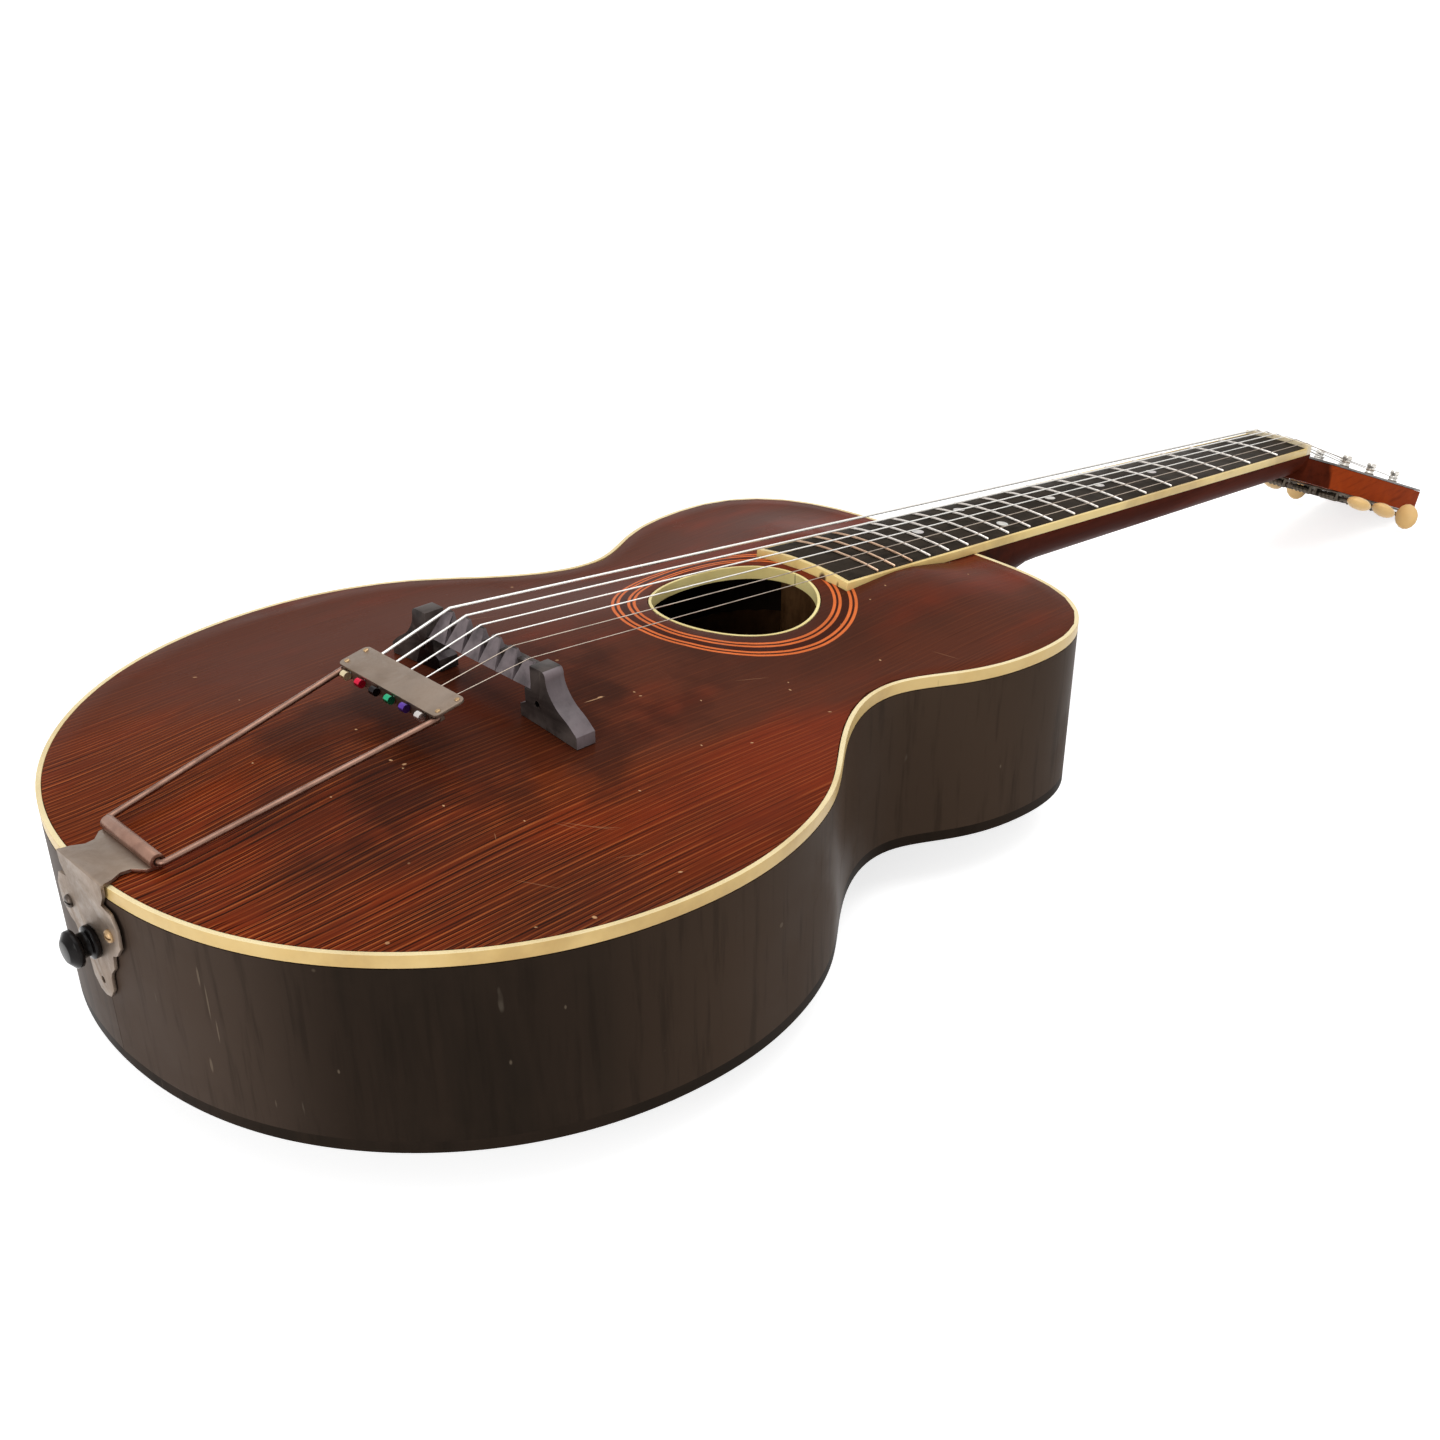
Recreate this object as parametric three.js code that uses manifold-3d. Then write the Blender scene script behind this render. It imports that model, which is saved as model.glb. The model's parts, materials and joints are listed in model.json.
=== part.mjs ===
import * as THREE from 'three';
import { mergeVertices } from 'three/addons/utils/BufferGeometryUtils.js';
import Module from 'manifold-3d';

// An archtop acoustic guitar with a round soundhole and a trapeze tailpiece, in millimetres, +Z up.
// The origin is on the flat of the back's arch, where the guitar rests, and +Y runs to the head.
// Inside the instrument group, y runs from the tail end of the body and z from the back edge of the sides.

// Clearances
const seatGap = 0.3;
const runningGap = 0.35;
const cutOverrun = 6;
const mergeStep = 0.0001;

// Scale and strings, from the sixth string to the first
const scaleLength = 616;
const fretCount = 19;
const octaveFrets = 12;
const stringRadii = [0.67, 0.53, 0.41, 0.32, 0.24, 0.2];
const stringCount = stringRadii.length;
const nutSpread = 35.4;
const saddleSpread = 57.4;
const holderSpread = 51.4;
const saddleHeights = [120.3, 120.6, 120.4, 120, 119.1, 117.7];
const saddleStagger = [1.4, 1.5, 0.5, -0.2, -0.6, -1.4];
const ballRadius = 1.8;
const ballLength = 3.2;

// Body outline, as shares of the body length and of the lower bout's half width, from the tail to the neck
const bodyLength = 460;
const lowerBout = 324;
const outlineShares = [
  [0, 0], [0.0096, 0.256], [0.038, 0.48], [0.0845, 0.674], [0.147, 0.833], [0.222, 0.944],
  [0.309, 1], [0.402, 0.995], [0.5, 0.903], [0.598, 0.695], [0.652, 0.616], [0.696, 0.606],
  [0.778, 0.721], [0.853, 0.756], [0.916, 0.73], [0.962, 0.632], [0.99, 0.472], [1, 0.265], [1, 0],
];
const outlineSteps = 84;

// Sides, plates and the inside of the body
const rimHeightTail = 84.5;
const rimHeightNeck = 83.3;
const rimThickness = 3;
const backEdgeThickness = 5;
const topThickness = 5.4;
const topBindingWidth = 2.2;
const backArchHeight = 24;
const topArchHeight = 10.8;
const spineTailShare = 0.261;
const spineNeckShare = 0.837;
const restingShare = 0.4457;
const spineTailY = bodyLength * spineTailShare;
const spineNeckY = bodyLength * spineNeckShare;
const restingY = bodyLength * restingShare;
const ringShares = [1, 0.92, 0.81, 0.67, 0.52, 0.36, 0.2, 0];
const topArchShares = [[0, 1], [0.3, 1], [0.6, 0.95], [0.8, 0.97], [1, 1]];
const backArchShares = [[0, 0.9], [0.15, 1], [0.5, 1], [0.72, 0.84], [1, 0.66]];
const backFlatShare = 0.96;
const backFullness = 1.4;
const liningDepth = 14;
const liningWidth = 6;
const neckBlockLength = 62;
const neckBlockWidth = 96;
const tailBlockLength = 30;
const tailBlockWidth = 84;
const braceFromSoundhole = 56.6;
const braceWidth = 9;
const braceDepth = 13;

// Soundhole
const soundholeFromNeck = 141.4;
const soundholeY = bodyLength - soundholeFromNeck;
const soundholeBindingOuter = 39.7;
const soundholeBindingWidth = 1.5;
const soundholeBindingDepth = 6.4;
const soundholeSteps = 48;
const braceY = soundholeY - braceFromSoundhole;

// Neck, fretboard and nut, in the neck's frame: y from the nut to the head, z from the board's edge
const nutFromBody = 335;
const nutFromTail = bodyLength + nutFromBody;
const nutHeight = 57.5;
const neckSlope = THREE.MathUtils.degToRad(5.1);
const nutWidth = 44;
const boardLength = 434;
const boardEndWidth = 59.8;
const boardThickness = 3.9;
const boardRadius = 200;
const boardBindingWidth = 1.6;
const boardEndBindingWidth = 2.6;
const boardArcSteps = 6;
const nutLength = 5;
const nutRise = 2.4;
const nutSlotLift = 1.5;
const fretWidth = 1.7;
const fretHeight = 1.05;
const fretShoulderShare = 0.72;
const neckDepthNut = 18.2;
const neckDepthBody = 24;
const neckSteps = 12;
const heelReach = 72;
const heelBottomClear = 3;
const heelSweep = 2.6;
const tenonWidth = 34;
const tenonLength = 24;
const tenonDepth = 58;
const tenonOverlap = 1;

// Head, in its own frame: y along the face from the nut, z out of the face
const headAngle = THREE.MathUtils.degToRad(15.8);
const headDrop = 6.8;
const headLength = 166;
const headThickness = 14.4;
const headFlareWidth = 59;
const headEndWidth = 61.6;
const headFlareY = 22;
const headCornerRadius = 7;
const headCrown = 3.5;
const veneerThickness = 1.2;

// Tuning machines, three on a plate on each side of the head
const tunersPerSide = 3;
const firstPostShare = 0.3525;
const postSpacingShare = 0.238;
const firstPostY = headLength * firstPostShare;
const postSpacing = headLength * postSpacingShare;
const postX = 19;
const postRadius = 3.1;
const postHeight = 9;
const postHoleGap = 0.5;
const machinePlateWidth = 18;
const machinePlateThickness = 1.2;
const machinePlateMargin = 12;
const gearRadius = 7.2;
const gearToothDepth = 1.3;
const gearThickness = 2.6;
const gearTeeth = 14;
const gearBossRadius = 2.2;
const gearBossLength = 1.3;
const wormRadius = 2.2;
const wormLength = 10.4;
const shaftRadius = 1.3;
const earThickness = 1.5;
const earWidth = 6;
const earDepth = 4.8;
const earSpan = 15.2;
const buttonLength = 15.4;
const buttonWidth = 17;
const buttonThickness = 8;
const buttonStandoff = 2.8;
const buttonTurnShares = [0.1, 0.34, 0.03, 0.02, 0.41, 0.45];
const gearToothShares = [[0, 0], [0.32, 1], [0.68, 1]];
const postShares = [[1, 0.28], [0.8, 0.42], [0.8, 0.66], [1, 0.8], [1, 0.94], [0.84, 1]];
const postWrapShare = 0.55;

// Bridge
const bridgeSetback = 0.6;
const bridgeRidgeDepth = 6.8;
const bridgeDepth = 9.3;
const bridgeY = nutFromTail - scaleLength * Math.cos(neckSlope) - bridgeSetback;
const bridgeRear = bridgeY - bridgeRidgeDepth;
const bridgeHalfLength = 62.5;
const bridgeFootInner = 27.5;
const bridgeFootNotch = 31;
const bridgeEndInner = 35.2;
const bridgeEndOuter = 44.6;
const bridgeTop = 118.4;
const bridgeBeamBottom = 108;
const bridgeWallTop = 115.4;
const bridgeWallDepth = 4.2;
const bridgeToeHeight = 5.2;
const bridgeOgeeShares = [[0.02, 0.73], [0.17, 0.52], [0.39, 0.34], [0.72, 0.19]];
const bridgeFootHoleRadius = 1.5;
const bridgeFootHoleX = 38.6;
const bridgeFootHoleZ = 102.9;
const saddleBaseWidth = 11.1;
const saddleRidgeWidth = 4.8;
const saddleRidgeDepth = 1.2;

// Trapeze tailpiece: bracket on the tail, rolled hinge barrel, wire frame and string holder
const bracketThickness = 1.3;
const bracketLobeHalf = 23;
const bracketFoldHalf = 17;
const bracketPlateShares = [
  [bracketFoldHalf / bracketLobeHalf, 1], [0.72, 0.907], [0.59, 0.824], [0.87, 0.806], [1, 0.705], [0.974, 0.559], [0.783, 0.467],
  [0.63, 0.44], [0.565, 0.32], [0.413, 0.256], [0.357, 0.21], [0.33, 0.1], [0.174, 0.018], [0, 0],
];
const bracketFlareHalf = 19;
const bracketFlangeShares = [
  [bracketFoldHalf / bracketFlareHalf, 0], [0.84, 0.22], [0.71, 0.44], [0.74, 0.62], [0.96, 0.8], [1, 1],
];
const bracketBottomZ = 31.5;
const bracketScrewX = 15.7;
const bracketScrewZ = 65.2;
const bracketScrewRadius = 1.5;
const bracketTongueHoleZ = 38.2;
const rollY = 19.5;
const rollRadius = 3;
const wireRadius = 1.3;
const holderShare = 0.7045;
const holderLift = 20.7;
const holderDistance = (bridgeY - rollY) * holderShare;
const trapezeRise = Math.atan2(holderLift, holderDistance);
const trapezeReach = Math.hypot(holderLift, holderDistance);
const holderHalf = 33.6;
const holderDepth = 14.8;
const holderSheet = 1.2;
const holderFlangeDepth = 4.6;
const holderHookX = 31.8;
const holderEarX = 29.6;
const holderHookLength = 3.4;
const wireBend = 2;

// Endpin
const endpinZ = 55.6;
const endpinShankRadius = 4.2;
const endpinShankLength = 27;
const endpinCollarRadius = 6.6;
const endpinCollarLength = 2.8;
const endpinNeckRadius = 4.8;
const endpinKnobRadius = 7.3;
const endpinLength = 11;
const endpinFlatRadius = 4.4;
const endpinRoundShare = 0.8;
const endpinBulgeShare = 0.6;

// Round-section counts
const roundSteps = 16;
const smallSteps = 8;

const wasm = await Module();
wasm.setup();

// Closed meshes: merge shared vertices, drop collapsed triangles and turn the faces outwards
function closed(positions, indices) {
  const geometry = new THREE.BufferGeometry();
  geometry.setAttribute('position', new THREE.Float32BufferAttribute(positions, 3));
  geometry.setIndex(indices);
  return tidy(geometry);
}

function tidy(source) {
  const bare = source.clone();
  for (const name of Object.keys(bare.attributes)) {
    if (name !== 'position') bare.deleteAttribute(name);
  }
  const merged = mergeVertices(bare, mergeStep);
  const kept = [];
  const list = merged.index.array;
  for (let i = 0; i < list.length; i += 3) {
    const [a, b, c] = [list[i], list[i + 1], list[i + 2]];
    if (a !== b && b !== c && c !== a) kept.push(a, b, c);
  }
  if (signedVolume(merged.attributes.position, kept) < 0) kept.reverse();
  merged.setIndex(kept);
  merged.computeVertexNormals();
  return merged;
}

function signedVolume(position, list) {
  const [a, b, c] = [new THREE.Vector3(), new THREE.Vector3(), new THREE.Vector3()];
  let six = 0;
  for (let i = 0; i < list.length; i += 3) {
    a.fromBufferAttribute(position, list[i]);
    b.fromBufferAttribute(position, list[i + 1]);
    c.fromBufferAttribute(position, list[i + 2]);
    six += a.dot(b.cross(c));
  }
  return six;
}

// Booleans on closed meshes
function toSolid(geometry) {
  const source = tidy(geometry);
  return new wasm.Manifold(new wasm.Mesh({
    numProp: 3,
    vertProperties: new Float32Array(source.attributes.position.array),
    triVerts: new Uint32Array(source.index.array),
  }));
}

function toGeometry(body) {
  const mesh = body.getMesh();
  return closed(Array.from(mesh.vertProperties), Array.from(mesh.triVerts));
}

function join(first, ...others) {
  return toGeometry(others.reduce((body, other) => body.add(toSolid(other)), toSolid(first)));
}

function cut(first, ...others) {
  return toGeometry(others.reduce((body, other) => body.subtract(toSolid(other)), toSolid(first)));
}

function common(first, ...others) {
  return toGeometry(others.reduce((body, other) => body.intersect(toSolid(other)), toSolid(first)));
}

// A skin over a row of sections with the same number of points each, capped at both ends or closed round
function loft(sections, endless = false) {
  const positions = [];
  const indices = [];
  const count = sections[0].length;
  sections.flat().forEach((point) => positions.push(point.x, point.y, point.z));
  const spans = endless ? sections.length : sections.length - 1;
  for (let row = 0; row < spans; row += 1) {
    const next = (row + 1) % sections.length;
    for (let i = 0; i < count; i += 1) {
      const j = (i + 1) % count;
      const [a, b, c, d] = [row * count + i, row * count + j, next * count + j, next * count + i];
      indices.push(a, b, c, a, c, d);
    }
  }
  if (!endless) {
    [[0, true], [sections.length - 1, false]].forEach(([row, flip]) => {
      const centre = sections[row].reduce((sum, point) => sum.add(point), new THREE.Vector3());
      centre.divideScalar(count);
      const hub = positions.length / 3;
      positions.push(centre.x, centre.y, centre.z);
      for (let i = 0; i < count; i += 1) {
        const [a, b] = [row * count + i, row * count + ((i + 1) % count)];
        indices.push(...(flip ? [hub, b, a] : [hub, a, b]));
      }
    });
  }
  return closed(positions, indices);
}

function box(low, high) {
  const geometry = new THREE.BoxGeometry(high[0] - low[0], high[1] - low[1], high[2] - low[2]);
  geometry.translate((low[0] + high[0]) / 2, (low[1] + high[1]) / 2, (low[2] + high[2]) / 2);
  return geometry;
}

// A cylinder whose axis runs along one of the axes, between two places on it
function rod(axis, radius, from, to, steps = roundSteps) {
  const geometry = new THREE.CylinderGeometry(radius, radius, Math.abs(to - from), steps);
  geometry.translate(0, (from + to) / 2, 0);
  if (axis === 'x') geometry.rotateZ(-Math.PI / 2);
  if (axis === 'z') geometry.rotateX(Math.PI / 2);
  return geometry;
}

// A turned piece about Z from its profile of radius and height
function turned(profile, steps) {
  const geometry = new THREE.LatheGeometry(profile.map(([r, h]) => new THREE.Vector2(r, h)), steps);
  geometry.rotateX(Math.PI / 2);
  return geometry;
}

// A tube whose rings stand on the named points of its path
class PointPath extends THREE.Curve {
  constructor(points) {
    super();
    this.points = points;
  }

  getPoint(t, target = new THREE.Vector3()) {
    const place = t * (this.points.length - 1);
    const index = Math.min(Math.floor(place), this.points.length - 2);
    return target.lerpVectors(this.points[index], this.points[index + 1], place - index);
  }

  getPointAt(u, target) {
    return this.getPoint(u, target);
  }

  getTangentAt(u, target = new THREE.Vector3()) {
    const index = Math.round(u * (this.points.length - 1));
    const before = this.points[Math.max(index - 1, 0)];
    const after = this.points[Math.min(index + 1, this.points.length - 1)];
    return target.subVectors(after, before).normalize();
  }
}

function tube(points, radius, sides) {
  const section = new THREE.Shape();
  for (let i = 0; i < sides; i += 1) {
    const turn = (2 * Math.PI * i) / sides;
    section[i === 0 ? 'moveTo' : 'lineTo'](radius * Math.cos(turn), radius * Math.sin(turn));
  }
  section.closePath();
  return new THREE.ExtrudeGeometry(section, {
    steps: points.length - 1,
    extrudePath: new PointPath(points),
    bevelEnabled: false,
  });
}

// A path with each inner corner rounded by a few points
function roundedPath(corners, bend, steps) {
  const points = [corners[0]];
  for (let i = 1; i < corners.length - 1; i += 1) {
    const before = corners[i - 1].clone().sub(corners[i]).setLength(bend).add(corners[i]);
    const after = corners[i + 1].clone().sub(corners[i]).setLength(bend).add(corners[i]);
    const curve = new THREE.QuadraticBezierCurve3(before, corners[i], after);
    points.push(...curve.getPoints(steps));
  }
  points.push(corners[corners.length - 1]);
  return points;
}

// A value read from a table of shares, eased between its rows
function eased(table, at) {
  const last = table.findIndex(([place]) => place >= at);
  if (last <= 0) return last === 0 ? table[0][1] : table[table.length - 1][1];
  const [[from, low], [to, high]] = [table[last - 1], table[last]];
  return THREE.MathUtils.lerp(low, high, THREE.MathUtils.smoothstep(at, from, to));
}

// Body outline and heights

function rimTop(y) {
  return THREE.MathUtils.lerp(rimHeightTail, rimHeightNeck, y / bodyLength);
}

function bodyOutline() {
  const side = outlineShares.map(([y, x]) => new THREE.Vector2((x * lowerBout) / 2, y * bodyLength));
  const other = side.slice(1, -1).reverse().map((point) => new THREE.Vector2(-point.x, point.y));
  const loop = [...side, ...other].map((point) => new THREE.Vector3(point.x, point.y, 0));
  const curve = new THREE.CatmullRomCurve3(loop, true, 'centripetal');
  curve.arcLengthDivisions = outlineSteps * roundSteps;
  const half = curve.getSpacedPoints(outlineSteps).slice(0, outlineSteps / 2 + 1);
  half[0].x = 0;
  half[outlineSteps / 2].x = 0;
  const mirrored = half.slice(1, -1).reverse().map((point) => new THREE.Vector3(-point.x, point.y, 0));
  return [...half, ...mirrored];
}

const outline = bodyOutline();

function inset(distance) {
  return outline.map((point, i) => {
    const before = outline[(i + outline.length - 1) % outline.length];
    const after = outline[(i + 1) % outline.length];
    const along = after.clone().sub(before).normalize();
    return new THREE.Vector3(point.x - along.y * distance, point.y + along.x * distance, 0);
  });
}

function archProfile(share) {
  return (1 - Math.cos(Math.PI * (1 - share))) / 2;
}

function spineShare(y) {
  return (THREE.MathUtils.clamp(y, spineTailY, spineNeckY) - spineTailY) / (spineNeckY - spineTailY);
}

function topRise(spine, share) {
  return topArchHeight * eased(topArchShares, spineShare(spine)) * archProfile(share);
}

function backSurface(y, share) {
  const fullness = Math.min(1, archProfile(share ** backFullness) / backFlatShare);
  return -backArchHeight * eased(backArchShares, spineShare(y)) * fullness;
}

// A plate between two arched surfaces, laid out in rings that shrink from its edge to the body's spine
function archedPlate(edge, upper, lower) {
  const positions = [];
  const indices = [];
  const count = edge.length;
  [upper, lower].forEach((surface) => {
    ringShares.forEach((share) => {
      edge.forEach((point) => {
        const spine = THREE.MathUtils.clamp(point.y, spineTailY, spineNeckY);
        const [x, y] = [share * point.x, spine + share * (point.y - spine)];
        positions.push(x, y, surface(y, share, spine));
      });
    });
  });
  const rows = ringShares.length;
  const spot = (sheet, row, i) => (sheet * rows + row) * count + (i % count);
  for (let i = 0; i < count; i += 1) {
    for (let row = 0; row < rows - 1; row += 1) {
      const [a, b] = [spot(0, row, i), spot(0, row, i + 1)];
      const [c, d] = [spot(0, row + 1, i + 1), spot(0, row + 1, i)];
      indices.push(a, b, c, a, c, d);
      const [e, f] = [spot(1, row, i), spot(1, row, i + 1)];
      const [g, h] = [spot(1, row + 1, i + 1), spot(1, row + 1, i)];
      indices.push(e, g, f, e, h, g);
    }
    const [p, q] = [spot(0, 0, i), spot(0, 0, i + 1)];
    const [r, s] = [spot(1, 0, i + 1), spot(1, 0, i)];
    indices.push(p, r, q, p, s, r);
  }
  return closed(positions, indices);
}

// A hoop that follows the outline, with one section per outline point
function hoop(section) {
  return loft(outline.map((point, i) => section(i)), true);
}

function wall(outerInset, innerInset, low, high) {
  const [outer, inner] = [inset(outerInset), inset(innerInset)];
  return hoop((i) => [
    new THREE.Vector3(outer[i].x, outer[i].y, low(outline[i].y)),
    new THREE.Vector3(outer[i].x, outer[i].y, high(outline[i].y)),
    new THREE.Vector3(inner[i].x, inner[i].y, high(outline[i].y)),
    new THREE.Vector3(inner[i].x, inner[i].y, low(outline[i].y)),
  ]);
}

function prism(edge, low, high) {
  const shape = new THREE.Shape(edge.map((point) => new THREE.Vector2(point.x, point.y)));
  const geometry = new THREE.ExtrudeGeometry(shape, { depth: high - low, bevelEnabled: false });
  geometry.translate(0, 0, low);
  return geometry;
}

// Frames of the neck and the head
const neckFrame = new THREE.Group();
neckFrame.position.set(0, nutFromTail, nutHeight);
neckFrame.rotation.x = -neckSlope;
const headFrame = new THREE.Group();
headFrame.position.set(0, nutLength + seatGap, -headDrop);
headFrame.rotation.x = -headAngle;
neckFrame.add(headFrame);
neckFrame.updateMatrixWorld(true);
const neckMatrix = neckFrame.matrixWorld.clone();
const headMatrix = headFrame.matrixWorld.clone();

// Top, back, sides and the pieces glued inside them
const topEdge = inset(topBindingWidth + seatGap);
const soundholeCut = soundholeBindingOuter + seatGap;

function boardHalfWidth(y) {
  return THREE.MathUtils.lerp(nutWidth, boardEndWidth, -y / boardLength) / 2;
}

function boardCrown(x, y) {
  const half = boardHalfWidth(y);
  return Math.sqrt(boardRadius ** 2 - x ** 2) - Math.sqrt(boardRadius ** 2 - half ** 2);
}

// A length of fretboard stock with a radiused top, in the neck's frame
function boardStock(fromY, toY, sideInset, bottom, rise) {
  const section = (y) => {
    const half = boardHalfWidth(y) - sideInset;
    const points = [];
    for (let i = 0; i <= boardArcSteps; i += 1) {
      const x = half * (1 - (2 * i) / boardArcSteps);
      points.push(new THREE.Vector3(x, y, boardCrown(x, y) + rise));
    }
    points.push(new THREE.Vector3(-half, y, bottom), new THREE.Vector3(half, y, bottom));
    return points;
  };
  return loft([section(fromY), section(toY)]);
}

// The room that the fretboard takes in the top
function boardBed() {
  const bed = boardStock(-boardLength - seatGap, 0, -seatGap, -boardThickness - seatGap, cutOverrun);
  return bed.applyMatrix4(neckMatrix);
}

function topPlate() {
  const plate = archedPlate(
    topEdge,
    (y, share, spine) => rimTop(y) + topRise(spine, share),
    (y, share, spine) => rimTop(y) + topRise(spine, share) - topThickness,
  );
  const [holeLow, holeHigh] = [rimHeightNeck - cutOverrun * 2, rimHeightTail + cutOverrun * 2];
  const hole = rod('z', soundholeCut, holeLow, holeHigh, soundholeSteps);
  hole.translate(0, soundholeY, 0);
  return cut(plate, hole, boardBed());
}

function backPlate() {
  return archedPlate(
    inset(0),
    (y, share, spine) => backEdgeThickness + backSurface(spine, share),
    (y, share, spine) => backSurface(spine, share),
  );
}

// The air inside the body, less the gap that glued-in pieces keep to the plates and sides
const innerWall = rimThickness + seatGap;
const cavity = common(
  archedPlate(
    topEdge,
    (y, share, spine) => rimTop(y) + topRise(spine, share) - topThickness - seatGap,
    (y, share, spine) => backEdgeThickness + backSurface(spine, share) + seatGap,
  ),
  prism(inset(innerWall), -backArchHeight, rimHeightTail + topArchHeight),
);

const tenonTop = -boardThickness - seatGap;
const bodyEndY = Math.max(...outline.map((point) => point.y)) + seatGap;

function tenon(clearance, outY) {
  const half = tenonWidth / 2 + clearance;
  const bottom = rimHeightNeck - tenonDepth - clearance;
  return box([-half, bodyLength - tenonLength - clearance, bottom], [half, outY, rimHeightTail]);
}

function sides() {
  const hoopWall = wall(
    0,
    rimThickness,
    () => backEdgeThickness + seatGap,
    (y) => rimTop(y) - topThickness - seatGap,
  );
  const endpinHole = rod('y', endpinShankRadius + seatGap, -cutOverrun, tailBlockLength + cutOverrun);
  endpinHole.translate(0, 0, endpinZ);
  return cut(hoopWall, endpinHole, tenon(seatGap, bodyEndY + cutOverrun));
}

function sideHalf(hoopWall, direction) {
  const near = (direction * seatGap) / 2;
  const far = direction * lowerBout;
  const low = [Math.min(near, far), -cutOverrun, -cutOverrun];
  const high = [Math.max(near, far), bodyLength + cutOverrun, rimHeightTail + cutOverrun];
  return common(hoopWall, box(low, high));
}

function topBinding() {
  return wall(0, topBindingWidth, (y) => rimTop(y) - topThickness, (y) => rimTop(y));
}

function topLining() {
  const [outer, inner] = [inset(innerWall), inset(innerWall + liningWidth)];
  const ring = hoop((i) => {
    const top = rimTop(outline[i].y) - topThickness - seatGap;
    return [
      new THREE.Vector3(outer[i].x, outer[i].y, top - liningDepth),
      new THREE.Vector3(outer[i].x, outer[i].y, top),
      new THREE.Vector3(inner[i].x, inner[i].y, top),
    ];
  });
  return cut(ring, tenon(seatGap, bodyEndY + cutOverrun));
}

function backLining() {
  const [outer, inner] = [inset(innerWall), inset(innerWall + liningWidth)];
  const bottom = backEdgeThickness + seatGap;
  return hoop((i) => [
    new THREE.Vector3(outer[i].x, outer[i].y, bottom + liningDepth),
    new THREE.Vector3(outer[i].x, outer[i].y, bottom),
    new THREE.Vector3(inner[i].x, inner[i].y, bottom),
  ]);
}

// A block at one end, notched for the linings that pass it
function endBlock(fromY, toY, width) {
  const blank = common(
    cavity,
    box([-width / 2, fromY, -backArchHeight], [width / 2, toY, rimHeightTail + topArchHeight]),
  );
  const notchWidth = innerWall + liningWidth + seatGap;
  const notchTop = wall(
    0,
    notchWidth,
    (y) => rimTop(y) - topThickness - liningDepth - seatGap * 2,
    (y) => rimTop(y) + cutOverrun,
  );
  const notchBack = wall(
    0,
    notchWidth,
    () => -backArchHeight,
    () => backEdgeThickness + liningDepth + seatGap * 2,
  );
  return cut(blank, notchTop, notchBack);
}

function neckBlock() {
  const blank = endBlock(bodyLength - neckBlockLength, bodyLength, neckBlockWidth);
  return cut(blank, tenon(seatGap, bodyEndY + cutOverrun));
}

function tailBlock() {
  const blank = endBlock(0, tailBlockLength, tailBlockWidth);
  const hole = rod('y', endpinShankRadius + seatGap, -cutOverrun, tailBlockLength + cutOverrun);
  hole.translate(0, 0, endpinZ);
  return cut(blank, hole);
}

function topBrace() {
  const half = lowerBout / 2;
  const low = [-half, braceY, topHeightAt(0, braceY) - topThickness - braceDepth];
  const high = [half, braceY + braceWidth, rimHeightTail + topArchHeight];
  const blank = common(cavity, box(low, high));
  const notch = wall(
    0,
    innerWall + liningWidth + seatGap,
    () => -backArchHeight,
    (y) => rimTop(y) + cutOverrun,
  );
  return cut(blank, notch);
}

// The cream ring in the soundhole: its top follows the arch of the plate
function soundholeBinding() {
  const outer = soundholeBindingOuter;
  const inner = soundholeBindingOuter - soundholeBindingWidth;
  const sections = [];
  for (let i = 0; i < soundholeSteps; i += 1) {
    const turn = (2 * Math.PI * i) / soundholeSteps;
    const spoke = new THREE.Vector3(Math.sin(turn), Math.cos(turn), 0);
    const centre = new THREE.Vector3(0, soundholeY, 0);
    const [p, q] = [outer, inner].map((radius) => centre.clone().addScaledVector(spoke, radius));
    const top = topHeightAt(p.x, p.y);
    sections.push([
      p.clone().setZ(top),
      q.clone().setZ(top),
      q.clone().setZ(top - soundholeBindingDepth),
      p.clone().setZ(top - soundholeBindingDepth),
    ]);
  }
  return cut(loft(sections, true), boardBed());
}

function halfWidthAt(y) {
  const half = topEdge.slice(0, outlineSteps / 2 + 1);
  const after = half.findIndex((point) => point.y >= y);
  const [p, q] = [half[after - 1], half[after]];
  return THREE.MathUtils.mapLinear(y, p.y, q.y, p.x, q.x);
}

function topHeightAt(x, y) {
  return rimTop(y) + topRise(y, Math.abs(x) / halfWidthAt(y));
}

// Neck with its heel, tenon and head

function neckSection(y, halfWidth, depth) {
  const points = [];
  for (let i = 0; i <= neckSteps; i += 1) {
    const turn = (Math.PI * i) / neckSteps;
    points.push(new THREE.Vector3(halfWidth * Math.cos(turn), y, tenonTop - depth * Math.sin(turn)));
  }
  return points;
}

function neckDepth(y) {
  const bodyY = -nutFromBody / Math.cos(neckSlope);
  const shaft = THREE.MathUtils.mapLinear(y, 0, bodyY, neckDepthNut, neckDepthBody);
  const heelDepth = rimHeightNeck - heelBottomClear - neckDepthBody;
  const near = THREE.MathUtils.clamp(1 - (y - bodyY) / heelReach, 0, 1);
  return shaft + heelDepth * near ** heelSweep;
}

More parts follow.
